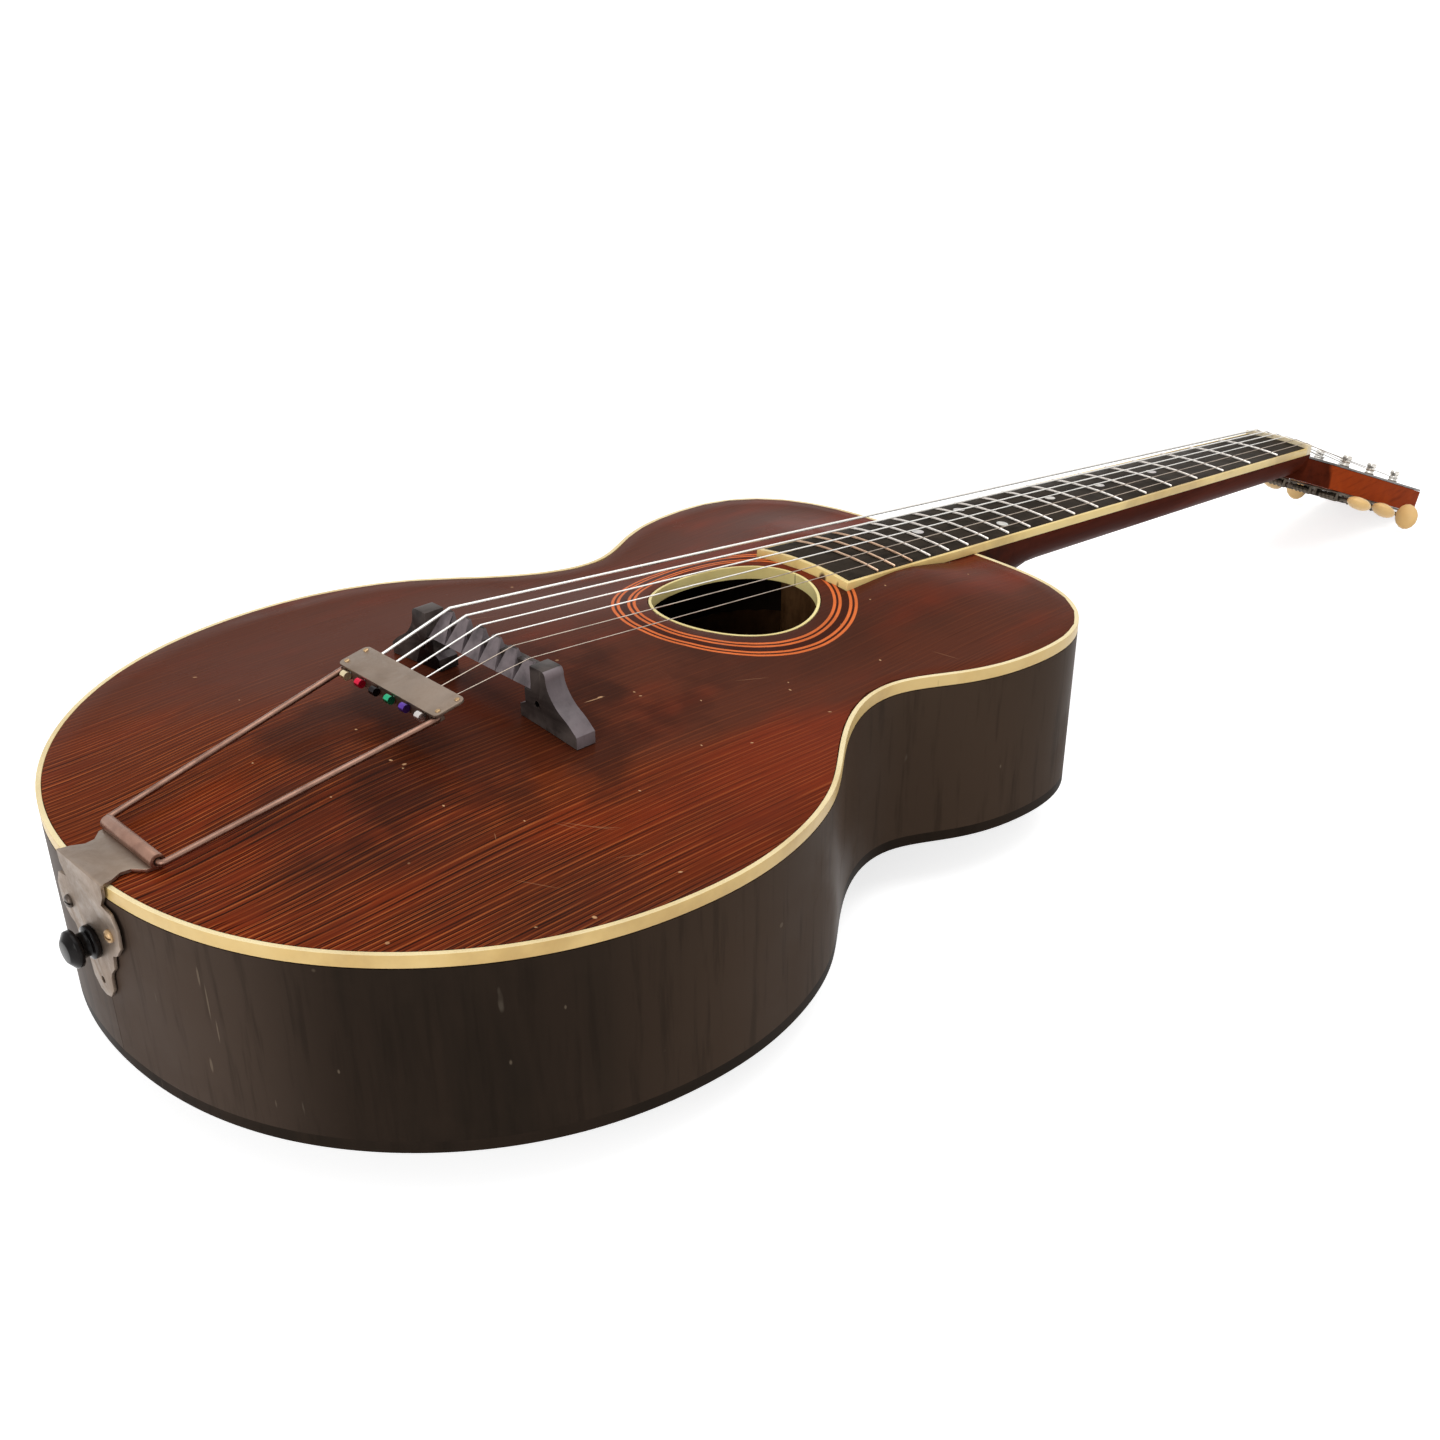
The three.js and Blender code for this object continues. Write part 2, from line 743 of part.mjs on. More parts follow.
function headOutline(sideInset) {
  const flare = headFlareWidth / 2 - sideInset;
  const end = headEndWidth / 2 - sideInset;
  const nutHalf = nutWidth / 2 - sideInset;
  const length = headLength - sideInset;
  const shape = new THREE.Shape();
  shape.moveTo(-nutHalf, 0);
  shape.lineTo(nutHalf, 0);
  shape.quadraticCurveTo(nutHalf, headFlareY / 2, flare, headFlareY);
  shape.lineTo(end, length - headCornerRadius);
  shape.quadraticCurveTo(end, length, end - headCornerRadius, length);
  shape.quadraticCurveTo(0, length + 2 * headCrown, headCornerRadius - end, length);
  shape.quadraticCurveTo(-end, length, -end, length - headCornerRadius);
  shape.lineTo(-flare, headFlareY);
  shape.quadraticCurveTo(-nutHalf, headFlareY / 2, -nutHalf, 0);
  return shape;
}

function headSlab(sideInset, low, high) {
  const shape = headOutline(sideInset);
  const geometry = new THREE.ExtrudeGeometry(shape, {
    depth: high - low,
    bevelEnabled: false,
    curveSegments: smallSteps / 2,
  });
  geometry.translate(0, 0, low);
  return geometry;
}

function postPlaces() {
  const places = [];
  for (const side of [-1, 1]) {
    for (let row = 0; row < tunersPerSide; row += 1) {
      places.push({ side, row, x: side * postX, y: firstPostY + row * postSpacing });
    }
  }
  return places;
}

function postHoles(low, high) {
  return postPlaces().map(({ x, y }) => {
    const hole = rod('z', postRadius + postHoleGap, low, high);
    hole.translate(x, y, 0);
    return hole;
  });
}

function neck() {
  const bodyY = -nutFromBody / Math.cos(neckSlope);
  const sections = [];
  const heelShares = [-0.25, 0, 0.07, 0.15, 0.25, 0.38, 0.55, 0.78, 1];
  heelShares.forEach((share) => {
    const y = bodyY + share * heelReach;
    sections.push(neckSection(y, boardHalfWidth(y), neckDepth(y)));
  });
  const shaftShares = [0.5, 1];
  shaftShares.forEach((share) => {
    const y = (bodyY + heelReach) * (1 - share);
    sections.push(neckSection(y, boardHalfWidth(y), neckDepth(y)));
  });
  const lastY = nutLength + headThickness;
  sections.push(neckSection(nutLength, nutWidth / 2, neckDepthNut));
  sections.push(neckSection(lastY, nutWidth / 2, headThickness / 2));
  const shaft = loft(sections);
  shaft.applyMatrix4(neckMatrix);
  const slab = headSlab(0, -headThickness, 0);
  slab.applyMatrix4(headMatrix);
  const aboveHead = box(
    [-headEndWidth, 0, 0],
    [headEndWidth, headLength, cutOverrun * 2],
  );
  aboveHead.applyMatrix4(headMatrix);
  const bodySpace = box(
    [-lowerBout, -cutOverrun, -backArchHeight * 2],
    [lowerBout, bodyEndY, rimHeightTail + topArchHeight * 2],
  );
  const holes = postHoles(-headThickness - cutOverrun, cutOverrun);
  holes.forEach((hole) => hole.applyMatrix4(headMatrix));
  const outside = cut(join(shaft, slab), aboveHead, bodySpace, ...holes);
  const boardSpace = box(
    [-lowerBout, -boardLength * 2, tenonTop],
    [lowerBout, seatGap, boardThickness * 2],
  );
  boardSpace.applyMatrix4(neckMatrix);
  const topSpace = box(
    [-lowerBout, 0, rimHeightNeck - topThickness - seatGap],
    [lowerBout, bodyEndY, rimHeightTail * 2],
  );
  return join(outside, cut(tenon(0, bodyEndY + tenonOverlap), topSpace, boardSpace));
}

function headVeneer() {
  const sheet = headSlab(seatGap, seatGap, seatGap + veneerThickness);
  return cut(sheet, ...postHoles(-cutOverrun, cutOverrun));
}

// Fretboard, its binding, the frets and the nut, in the neck's frame

const ebonyInset = boardBindingWidth + seatGap;
const ebonyEnd = -boardLength + boardEndBindingWidth + seatGap;

function fretboard() {
  return boardStock(ebonyEnd, 0, ebonyInset, -boardThickness, 0);
}

function fretboardBinding() {
  const outer = boardStock(-boardLength, 0, 0, -boardThickness, 0);
  const inner = boardStock(
    -boardLength + boardEndBindingWidth,
    cutOverrun,
    boardBindingWidth,
    -boardThickness - cutOverrun,
    cutOverrun,
  );
  return cut(outer, inner);
}

function fretDistance(number) {
  return scaleLength * (1 - 2 ** (-number / octaveFrets));
}

function fret(number) {
  const y = -fretDistance(number);
  const half = boardHalfWidth(y) - ebonyInset;
  const sections = [];
  for (let i = 0; i <= boardArcSteps; i += 1) {
    const x = half * ((2 * i) / boardArcSteps - 1);
    const seat = boardCrown(x, y) + seatGap;
    const shoulder = (fretWidth / 2) * fretShoulderShare;
    sections.push([
      new THREE.Vector3(x, y - fretWidth / 2, seat),
      new THREE.Vector3(x, y + fretWidth / 2, seat),
      new THREE.Vector3(x, y + shoulder, seat + fretHeight * fretShoulderShare),
      new THREE.Vector3(x, y, seat + fretHeight),
      new THREE.Vector3(x, y - shoulder, seat + fretHeight * fretShoulderShare),
    ]);
  }
  return loft(sections);
}

function stringShare(index) {
  return index / (stringCount - 1) - 1 / 2;
}

function nutStringHeight(index) {
  return boardCrown(nutSpread * stringShare(index), 0) + nutSlotLift + stringRadii[index] + seatGap;
}

function nut() {
  const half = nutWidth / 2;
  const section = (y, drop) => {
    const points = [];
    for (let i = 0; i <= boardArcSteps; i += 1) {
      const x = half * (1 - (2 * i) / boardArcSteps);
      points.push(new THREE.Vector3(x, y, boardCrown(x, 0) + nutRise - drop));
    }
    points.push(new THREE.Vector3(-half, y, -boardThickness), new THREE.Vector3(half, y, -boardThickness));
    return points;
  };
  const blank = loft([section(seatGap, 0), section(nutLength, nutRise / 3)]);
  const slots = stringRadii.map((radius, i) => {
    const x = nutSpread * stringShare(i);
    const width = radius + seatGap;
    const bottom = nutStringHeight(i) - radius - seatGap;
    return box([x - width, -cutOverrun, bottom], [x + width, nutLength + cutOverrun, bottom + cutOverrun]);
  });
  return cut(blank, ...slots);
}

// Bridge: two feet and a thin wall, with six staggered saddles carved behind it

function bridge() {
  const seat = (x) => topHeightAt(x, bridgeRear) + seatGap;
  const toeTop = seat(bridgeHalfLength) + bridgeToeHeight;
  const shape = new THREE.Shape();
  const side = [
    [bridgeBeamBottom, 0],
    [bridgeBeamBottom, bridgeFootNotch],
    [(bridgeBeamBottom + seat(bridgeFootInner)) / 2, bridgeFootNotch],
    [seat(bridgeFootInner) + bridgeToeHeight, bridgeFootInner],
    [seat(bridgeFootInner), bridgeFootInner],
    [seat((bridgeFootInner + bridgeHalfLength) / 2), (bridgeFootInner + bridgeHalfLength) / 2],
    [seat(bridgeHalfLength), bridgeHalfLength],
    [toeTop, bridgeHalfLength],
    ...bridgeOgeeShares.toReversed().map(([x, z]) => [
      THREE.MathUtils.lerp(toeTop, bridgeTop, z),
      THREE.MathUtils.lerp(bridgeEndOuter, bridgeHalfLength, x),
    ]),
    [bridgeTop, bridgeEndOuter],
    [bridgeTop, bridgeEndInner],
    [bridgeWallTop, bridgeEndInner],
    [bridgeWallTop, 0],
  ];
  side.forEach(([z, x], i) => shape[i === 0 ? 'moveTo' : 'lineTo'](x, z));
  side.slice(1, -1).reverse().forEach(([z, x]) => shape.lineTo(-x, z));
  const blank = new THREE.ExtrudeGeometry(shape, { depth: bridgeDepth, bevelEnabled: false });
  blank.rotateX(Math.PI / 2);
  blank.translate(0, bridgeRear + bridgeDepth, 0);
  const recess = box(
    [-bridgeEndInner, bridgeRear - cutOverrun, bridgeBeamBottom - seatGap],
    [bridgeEndInner, bridgeRear + bridgeDepth - bridgeWallDepth, bridgeTop + cutOverrun],
  );
  const front = bridgeRear + bridgeDepth;
  const holes = [-1, 1].map((direction) => {
    const hole = rod('y', bridgeFootHoleRadius, bridgeRear - cutOverrun, front + cutOverrun, smallSteps);
    hole.translate(direction * bridgeFootHoleX, 0, bridgeFootHoleZ);
    return hole;
  });
  const saddles = stringRadii.map((radius, i) => {
    const x = saddleSpread * stringShare(i);
    const ridge = bridgeY + saddleStagger[i];
    const top = saddleHeights[i] - radius - seatGap;
    const rectangle = (half, rear, fore, z) => [
      new THREE.Vector3(x - half, rear, z),
      new THREE.Vector3(x + half, rear, z),
      new THREE.Vector3(x + half, fore, z),
      new THREE.Vector3(x - half, fore, z),
    ];
    return loft([
      rectangle(saddleBaseWidth / 2, bridgeRear + seatGap, front, bridgeBeamBottom),
      rectangle(saddleRidgeWidth / 2, ridge - saddleRidgeDepth / 2, ridge + saddleRidgeDepth / 2, top),
    ]);
  });
  return join(cut(blank, recess, ...holes), ...saddles);
}

// Trapeze tailpiece. Its frame stands on the hinge barrel's axis: y runs along the wire legs.

const tailShare = (spineTailY - rollY) / (spineTailY - topBindingWidth - seatGap);
const flangeLow = rimTop(rollY) + topRise(spineTailY, tailShare) + seatGap;
const rollZ = flangeLow + rollRadius;
const bracketBack = -seatGap;
const bracketFront = -seatGap - bracketThickness;

const trapezeFrame = new THREE.Group();
trapezeFrame.position.set(0, rollY, rollZ);
trapezeFrame.rotation.x = trapezeRise;
trapezeFrame.updateMatrixWorld(true);

// Both halves of an outline given as shares of a half width and a height
function mirroredShape(shares, halfWidth, height) {
  const shape = new THREE.Shape();
  shares.forEach(([x, h], i) => shape[i === 0 ? 'moveTo' : 'lineTo'](x * halfWidth, h * height));
  const back = shares.filter(([x]) => x > 0).reverse();
  back.forEach(([x, h]) => shape.lineTo(-x * halfWidth, h * height));
  return shape;
}

function bracket() {
  const plateHeight = flangeLow + bracketThickness - bracketBottomZ;
  const flangeLength = rollY - bracketFront;
  const sheet = { depth: bracketThickness, bevelEnabled: false };
  const plateShape = mirroredShape(bracketPlateShares, bracketLobeHalf, plateHeight);
  const plate = new THREE.ExtrudeGeometry(plateShape, sheet);
  plate.rotateX(Math.PI / 2);
  plate.translate(0, bracketBack, bracketBottomZ);
  const flangeShape = mirroredShape(bracketFlangeShares, bracketFlareHalf, flangeLength);
  const flange = new THREE.ExtrudeGeometry(flangeShape, sheet);
  flange.translate(0, bracketFront, flangeLow);
  const barrel = rod('x', rollRadius, -bracketFlareHalf, bracketFlareHalf);
  barrel.translate(0, rollY, rollZ);
  const bore = rod('x', wireRadius + runningGap, -bracketLobeHalf, bracketLobeHalf);
  bore.translate(0, rollY, rollZ);
  const through = (radius, x, z) => {
    const hole = rod('y', radius, -cutOverrun, cutOverrun, smallSteps + smallSteps / 2);
    hole.translate(x, 0, z);
    return hole;
  };
  return cut(
    join(plate, flange, barrel),
    bore,
    through(endpinShankRadius + seatGap, 0, endpinZ),
    through(bracketScrewRadius, -bracketScrewX, bracketScrewZ),
    through(bracketScrewRadius, bracketScrewX, bracketScrewZ),
    through(bracketScrewRadius, 0, bracketTongueHoleZ),
  );
}

function trapezeWire() {
  const rollCorner = bracketFlareHalf + wireBend + seatGap;
  const corner = (x, y) => new THREE.Vector3(x, y, 0);
  const corners = [
    corner(-holderHookX + holderHookLength, trapezeReach),
    corner(-holderHookX, trapezeReach),
    corner(-rollCorner, 0),
    corner(rollCorner, 0),
    corner(holderHookX, trapezeReach),
    corner(holderHookX - holderHookLength, trapezeReach),
  ];
  return tube(roundedPath(corners, wireBend, smallSteps / 2), wireRadius, smallSteps + 2);
}

const holderLow = wireRadius + runningGap;
const holderRear = trapezeReach - wireRadius - runningGap - holderSheet;
const holderFront = holderRear + holderDepth;

function holderStringX(index) {
  return holderSpread * stringShare(index);
}

function stringHolder() {
  const plate = box([-holderHalf, holderRear, holderLow], [holderHalf, holderFront, holderLow + holderSheet]);
  const flangeBottom = holderLow - holderFlangeDepth;
  const flangeHalf = holderHookX - holderHookLength - wireRadius;
  const flangeHigh = [flangeHalf, holderRear + holderSheet, holderLow];
  const flange = box([-flangeHalf, holderRear, flangeBottom], flangeHigh);
  const ears = [-holderEarX, holderEarX].map((x) => cut(
    box(
      [x - holderSheet / 2, holderRear, flangeBottom],
      [x + holderSheet / 2, 2 * trapezeReach - holderRear, holderLow + holderSheet / 2],
    ),
    rod('x', wireRadius + runningGap, x - holderSheet, x + holderSheet).translate(0, trapezeReach, 0),
  ));
  const slots = stringRadii.map((radius, i) => box(
    [holderStringX(i) - radius - seatGap, holderRear - cutOverrun, flangeBottom - cutOverrun],
    [holderStringX(i) + radius + seatGap, holderRear + holderSheet + seatGap, holderLow],
  ));
  return join(cut(join(plate, flange), ...slots), ...ears);
}

// Endpin, turned about its own axis and pushed through the bracket, the side and the tail block

function endpin() {
  const flat = bracketThickness + 2 * seatGap;
  const profile = [
    [0, flat - endpinShankLength],
    [endpinShankRadius, flat - endpinShankLength],
    [endpinShankRadius, flat],
    [endpinCollarRadius, flat],
    [endpinCollarRadius, flat + endpinCollarLength * endpinRoundShare],
    [endpinNeckRadius, flat + endpinCollarLength],
    [endpinNeckRadius, flat + endpinCollarLength * 2],
    [endpinKnobRadius, flat + endpinLength * endpinBulgeShare],
    [endpinKnobRadius, flat + endpinLength * endpinRoundShare],
    [endpinFlatRadius, flat + endpinLength],
    [0, flat + endpinLength],
  ];
  return turned(profile, roundSteps);
}

// Strings, each with its ball end behind the holder's flange

function stringPost(index) {
  const bass = index < tunersPerSide;
  return { side: bass ? -1 : 1, row: bass ? index : stringCount - 1 - index };
}

function stringPoints(index) {
  const radius = stringRadii[index];
  const under = holderLow - seatGap - radius;
  const ballY = holderRear - seatGap - ballRadius;
  const { side, row } = stringPost(index);
  const nutX = nutSpread * stringShare(index);
  const nutZ = nutStringHeight(index);
  const saddleX = saddleSpread * stringShare(index);
  const postInner = side * (postX - postRadius - seatGap - radius);
  const inTrapeze = (x, y, z) => new THREE.Vector3(x, y, z).applyMatrix4(trapezeFrame.matrixWorld);
  const inNeck = (x, y, z) => new THREE.Vector3(x, y, z).applyMatrix4(neckMatrix);
  const inHead = (x, y, z) => new THREE.Vector3(x, y, z).applyMatrix4(headMatrix);
  return [
    inTrapeze(holderStringX(index), ballY, under),
    inTrapeze(holderStringX(index), holderFront, under),
    new THREE.Vector3(saddleX, bridgeY + saddleStagger[index], saddleHeights[index]),
    inNeck(nutX, 0, nutZ),
    inNeck(nutX, nutLength + seatGap, nutZ),
    inHead(postInner, firstPostY + row * postSpacing, postHeight * postWrapShare),
  ];
}

function string(index) {
  const points = stringPoints(index);
  const sides = index < tunersPerSide ? smallSteps : smallSteps - 2;
  const ball = rod('x', ballRadius, -ballLength / 2, ballLength / 2, smallSteps + 2);
  ball.translate(points[0].x, points[0].y, points[0].z);
  return join(tube(points, stringRadii[index], sides), ball);
}

// Tuning machines, in the head's frame

const plateHigh = -headThickness - seatGap;
const plateLow = plateHigh - machinePlateThickness;
const wormZ = plateLow - runningGap - wormRadius;
const wormBack = gearRadius + wormRadius + runningGap;

function machinePlate(side) {
  const low = postX - machinePlateWidth / 2;
  const lastPostY = firstPostY + (tunersPerSide - 1) * postSpacing;
  const strip = box(
    [low, firstPostY - wormBack - earWidth, plateLow],
    [low + machinePlateWidth, lastPostY + machinePlateMargin, plateHigh],
  );
  const ears = [];
  const holes = [];
  for (let row = 0; row < tunersPerSide; row += 1) {
    const y = firstPostY + row * postSpacing;
    [-1, 1].forEach((end) => {
      const x = postX + (end * earSpan) / 2;
      const ear = box(
        [x - earThickness / 2, y - wormBack - earWidth / 2, plateLow - earDepth],
        [x + earThickness / 2, y - wormBack + earWidth / 2, plateLow + machinePlateThickness / 2],
      );
      const bearing = rod('x', shaftRadius + runningGap, x - earThickness, x + earThickness, smallSteps);
      ears.push(cut(ear, bearing.translate(0, y - wormBack, wormZ)));
    });
    const hole = rod('z', postRadius + runningGap, plateLow - cutOverrun, plateHigh + cutOverrun);
    holes.push(hole.translate(postX, y, 0));
  }
  const plate = join(cut(strip, ...holes), ...ears);
  return side > 0 ? plate : tidy(plate.scale(-1, 1, 1));
}

function tunerPost() {
  const gearLow = wormZ - gearThickness / 2;
  const shape = new THREE.Shape();
  const root = gearRadius - gearToothDepth;
  for (let i = 0; i < gearTeeth; i += 1) {
    gearToothShares.forEach(([turnShare, rise], k) => {
      const turn = (2 * Math.PI * (i + turnShare)) / gearTeeth;
      const radius = root + gearToothDepth * rise;
      shape[i + k === 0 ? 'moveTo' : 'lineTo'](radius * Math.cos(turn), radius * Math.sin(turn));
    });
  }
  const gear = new THREE.ExtrudeGeometry(shape, { depth: gearThickness, bevelEnabled: false });
  gear.translate(0, 0, gearLow);
  const profile = [
    [0, gearLow - gearBossLength],
    [gearBossRadius, gearLow - gearBossLength],
    [gearBossRadius, gearLow + gearThickness / 2],
    [postRadius, gearLow + gearThickness / 2],
    ...postShares.map(([radius, height]) => [postRadius * radius, postHeight * height]),
    [0, postHeight],
  ];
  return join(turned(profile, smallSteps + 4), gear);
}

// A worm shaft along X with its button, its axis through the origin
function tunerKnob(side) {
  const buttonX = headEndWidth / 2 + buttonStandoff + buttonLength / 2;
  const shaft = rod('x', shaftRadius, postX - earSpan / 2 - earThickness, buttonX, smallSteps);
  const worm = rod('x', wormRadius, postX - wormLength / 2, postX + wormLength / 2, smallSteps);
  const button = new THREE.SphereGeometry(1, smallSteps + 4, smallSteps);
  button.rotateZ(Math.PI / 2);
  button.scale(buttonLength / 2, buttonThickness / 2, buttonWidth / 2);
  button.translate(buttonX, 0, 0);
  const knob = join(shaft, worm, button);
  return side > 0 ? knob : knob.rotateY(Math.PI);
}

// Finishes
const finishes = {
  topSpruce: { color: 0x5a2c1c, roughness: 0.34, metalness: 0 },
  sideWood: { color: 0x2e1d18, roughness: 0.36, metalness: 0 },
  rawWood: { color: 0xb08a5c, roughness: 0.8, metalness: 0 },
  neckWood: { color: 0x4a1a10, roughness: 0.36, metalness: 0 },
  creamBinding: { color: 0xd9c687, roughness: 0.42, metalness: 0 },
  ebony: { color: 0x17120f, roughness: 0.42, metalness: 0 },
  bone: { color: 0xe2d3ae, roughness: 0.45, metalness: 0 },
  nickel: { color: 0x9d9588, roughness: 0.34, metalness: 1 },
  wornNickel: { color: 0x8d7f70, roughness: 0.4, metalness: 1 },
  wireSteel: { color: 0x8a6655, roughness: 0.38, metalness: 1 },
  fretMetal: { color: 0xc9c3b6, roughness: 0.28, metalness: 1 },
  stringMetal: { color: 0xdad6cc, roughness: 0.25, metalness: 1 },
  ivory: { color: 0xe6c795, roughness: 0.4, metalness: 0 },
};

function add(parent, name, geometry, finish) {
  const mesh = new THREE.Mesh(geometry, new THREE.MeshStandardMaterial(finishes[finish]));
  mesh.name = name;
  parent.add(mesh);
  return mesh;
}

// The whole instrument
const instrument = new THREE.Group();
instrument.position.set(0, -restingY, backArchHeight);
instrument.add(neckFrame, trapezeFrame);

const hoopWall = sides();
add(instrument, 'top_plate', topPlate(), 'topSpruce');
add(instrument, 'back_plate', backPlate(), 'sideWood');
add(instrument, 'rim_bass', sideHalf(hoopWall, -1), 'sideWood');
add(instrument, 'rim_treble', sideHalf(hoopWall, 1), 'sideWood');
add(instrument, 'top_binding', topBinding(), 'creamBinding');
add(instrument, 'lining_top', topLining(), 'rawWood');
add(instrument, 'lining_back', backLining(), 'rawWood');
add(instrument, 'neck_block', neckBlock(), 'rawWood');
add(instrument, 'tail_block', tailBlock(), 'rawWood');
add(instrument, 'top_brace', topBrace(), 'rawWood');
add(instrument, 'soundhole_binding', soundholeBinding(), 'creamBinding');
add(instrument, 'neck', neck(), 'neckWood');
add(instrument, 'bridge', bridge(), 'ebony');
add(instrument, 'tailpiece_bracket', bracket(), 'wornNickel');
const pin = add(instrument, 'endpin', endpin(), 'ebony');
pin.position.set(0, 0, endpinZ);
pin.rotation.x = Math.PI / 2;

add(trapezeFrame, 'tailpiece_wire', trapezeWire(), 'wireSteel');
add(trapezeFrame, 'string_holder', stringHolder(), 'wornNickel');

add(neckFrame, 'fretboard', fretboard(), 'ebony');
add(neckFrame, 'fretboard_binding', fretboardBinding(), 'creamBinding');
add(neckFrame, 'nut', nut(), 'bone');
for (let number = 1; number <= fretCount; number += 1) {
  add(neckFrame, `fret_${String(number).padStart(2, '0')}`, fret(number), 'fretMetal');
}

add(headFrame, 'head_veneer', headVeneer(), 'ebony');
add(headFrame, 'tuner_plate_bass', machinePlate(-1), 'nickel');
add(headFrame, 'tuner_plate_treble', machinePlate(1), 'nickel');
stringRadii.forEach((radius, index) => {
  const number = stringCount - index;
  const { side, row } = stringPost(index);
  const y = firstPostY + row * postSpacing;
  add(instrument, `string_${number}`, string(index), 'stringMetal');
  const post = add(headFrame, `tuner_post_${number}`, tunerPost(), 'nickel');
  post.position.set(side * postX, y, 0);
  post.rotation.z = (-Math.PI / 2) + Math.PI / gearTeeth;
  const knob = add(headFrame, `tuner_knob_${number}`, tunerKnob(side), 'ivory');
  knob.position.set(0, y - wormBack, wormZ);
  knob.rotation.x = buttonTurnShares[index] * Math.PI;
});

export default instrument;
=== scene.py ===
import json
import math

import bpy
from bpy.props import FloatProperty, FloatVectorProperty, IntProperty, PointerProperty
from mathutils import Matrix, Vector
from mathutils.bvhtree import BVHTree


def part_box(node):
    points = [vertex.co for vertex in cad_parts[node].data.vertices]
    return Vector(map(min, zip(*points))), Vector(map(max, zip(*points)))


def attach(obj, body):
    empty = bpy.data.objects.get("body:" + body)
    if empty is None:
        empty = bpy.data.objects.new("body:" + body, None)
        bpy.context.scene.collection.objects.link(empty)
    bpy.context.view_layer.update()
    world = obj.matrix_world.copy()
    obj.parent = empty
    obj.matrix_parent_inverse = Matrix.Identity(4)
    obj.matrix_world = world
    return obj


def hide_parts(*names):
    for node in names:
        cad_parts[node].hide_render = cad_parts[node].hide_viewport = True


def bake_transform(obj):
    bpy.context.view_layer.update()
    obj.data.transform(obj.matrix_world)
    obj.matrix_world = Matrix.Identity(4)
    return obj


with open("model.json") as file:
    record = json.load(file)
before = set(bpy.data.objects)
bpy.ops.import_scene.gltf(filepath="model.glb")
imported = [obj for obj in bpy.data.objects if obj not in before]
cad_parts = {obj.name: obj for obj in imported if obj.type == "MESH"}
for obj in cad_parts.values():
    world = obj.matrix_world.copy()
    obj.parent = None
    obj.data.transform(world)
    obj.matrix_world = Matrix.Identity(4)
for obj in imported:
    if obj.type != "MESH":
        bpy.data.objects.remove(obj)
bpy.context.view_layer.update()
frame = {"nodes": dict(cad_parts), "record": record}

bl_info = {
    "name": "Archtop Acoustic Guitar",
    "version": (1, 0, 0),
    "blender": (4, 5, 0),
    "location": "View3D > Sidebar > Archtop",
    "description": "Finishes the archtop guitar's frame in spruce, ebony, cream and old nickel",
    "category": "Object",
}

MM = 0.001
BODY_OF = {
    node: body
    for body, nodes in frame["record"]["behaviour"]["bodies"].items()
    for node in nodes
}
JOINTS = {joint["name"]: joint for joint in frame["record"]["behaviour"]["joints"]}
FRETS = range(1, 20)
STRINGS = range(1, 7)


def stain(red, green, blue):
    """A colour given in 0-255 screen values, as the linear values that a material takes."""
    linear = []
    for part in (red, green, blue):
        share = part / 255
        linear.append(share / 12.92 if share <= 0.04045 else ((share + 0.055) / 1.055) ** 2.4)
    return tuple(linear)


def full(colour):
    """The colour with its opacity, as a colour socket takes it."""
    return (colour[0], colour[1], colour[2], 1.0)


def toned(colour, share):
    """The colour made darker or lighter by one share."""
    return tuple(min(1.0, part * share) for part in colour)


# Settings shown in the sidebar


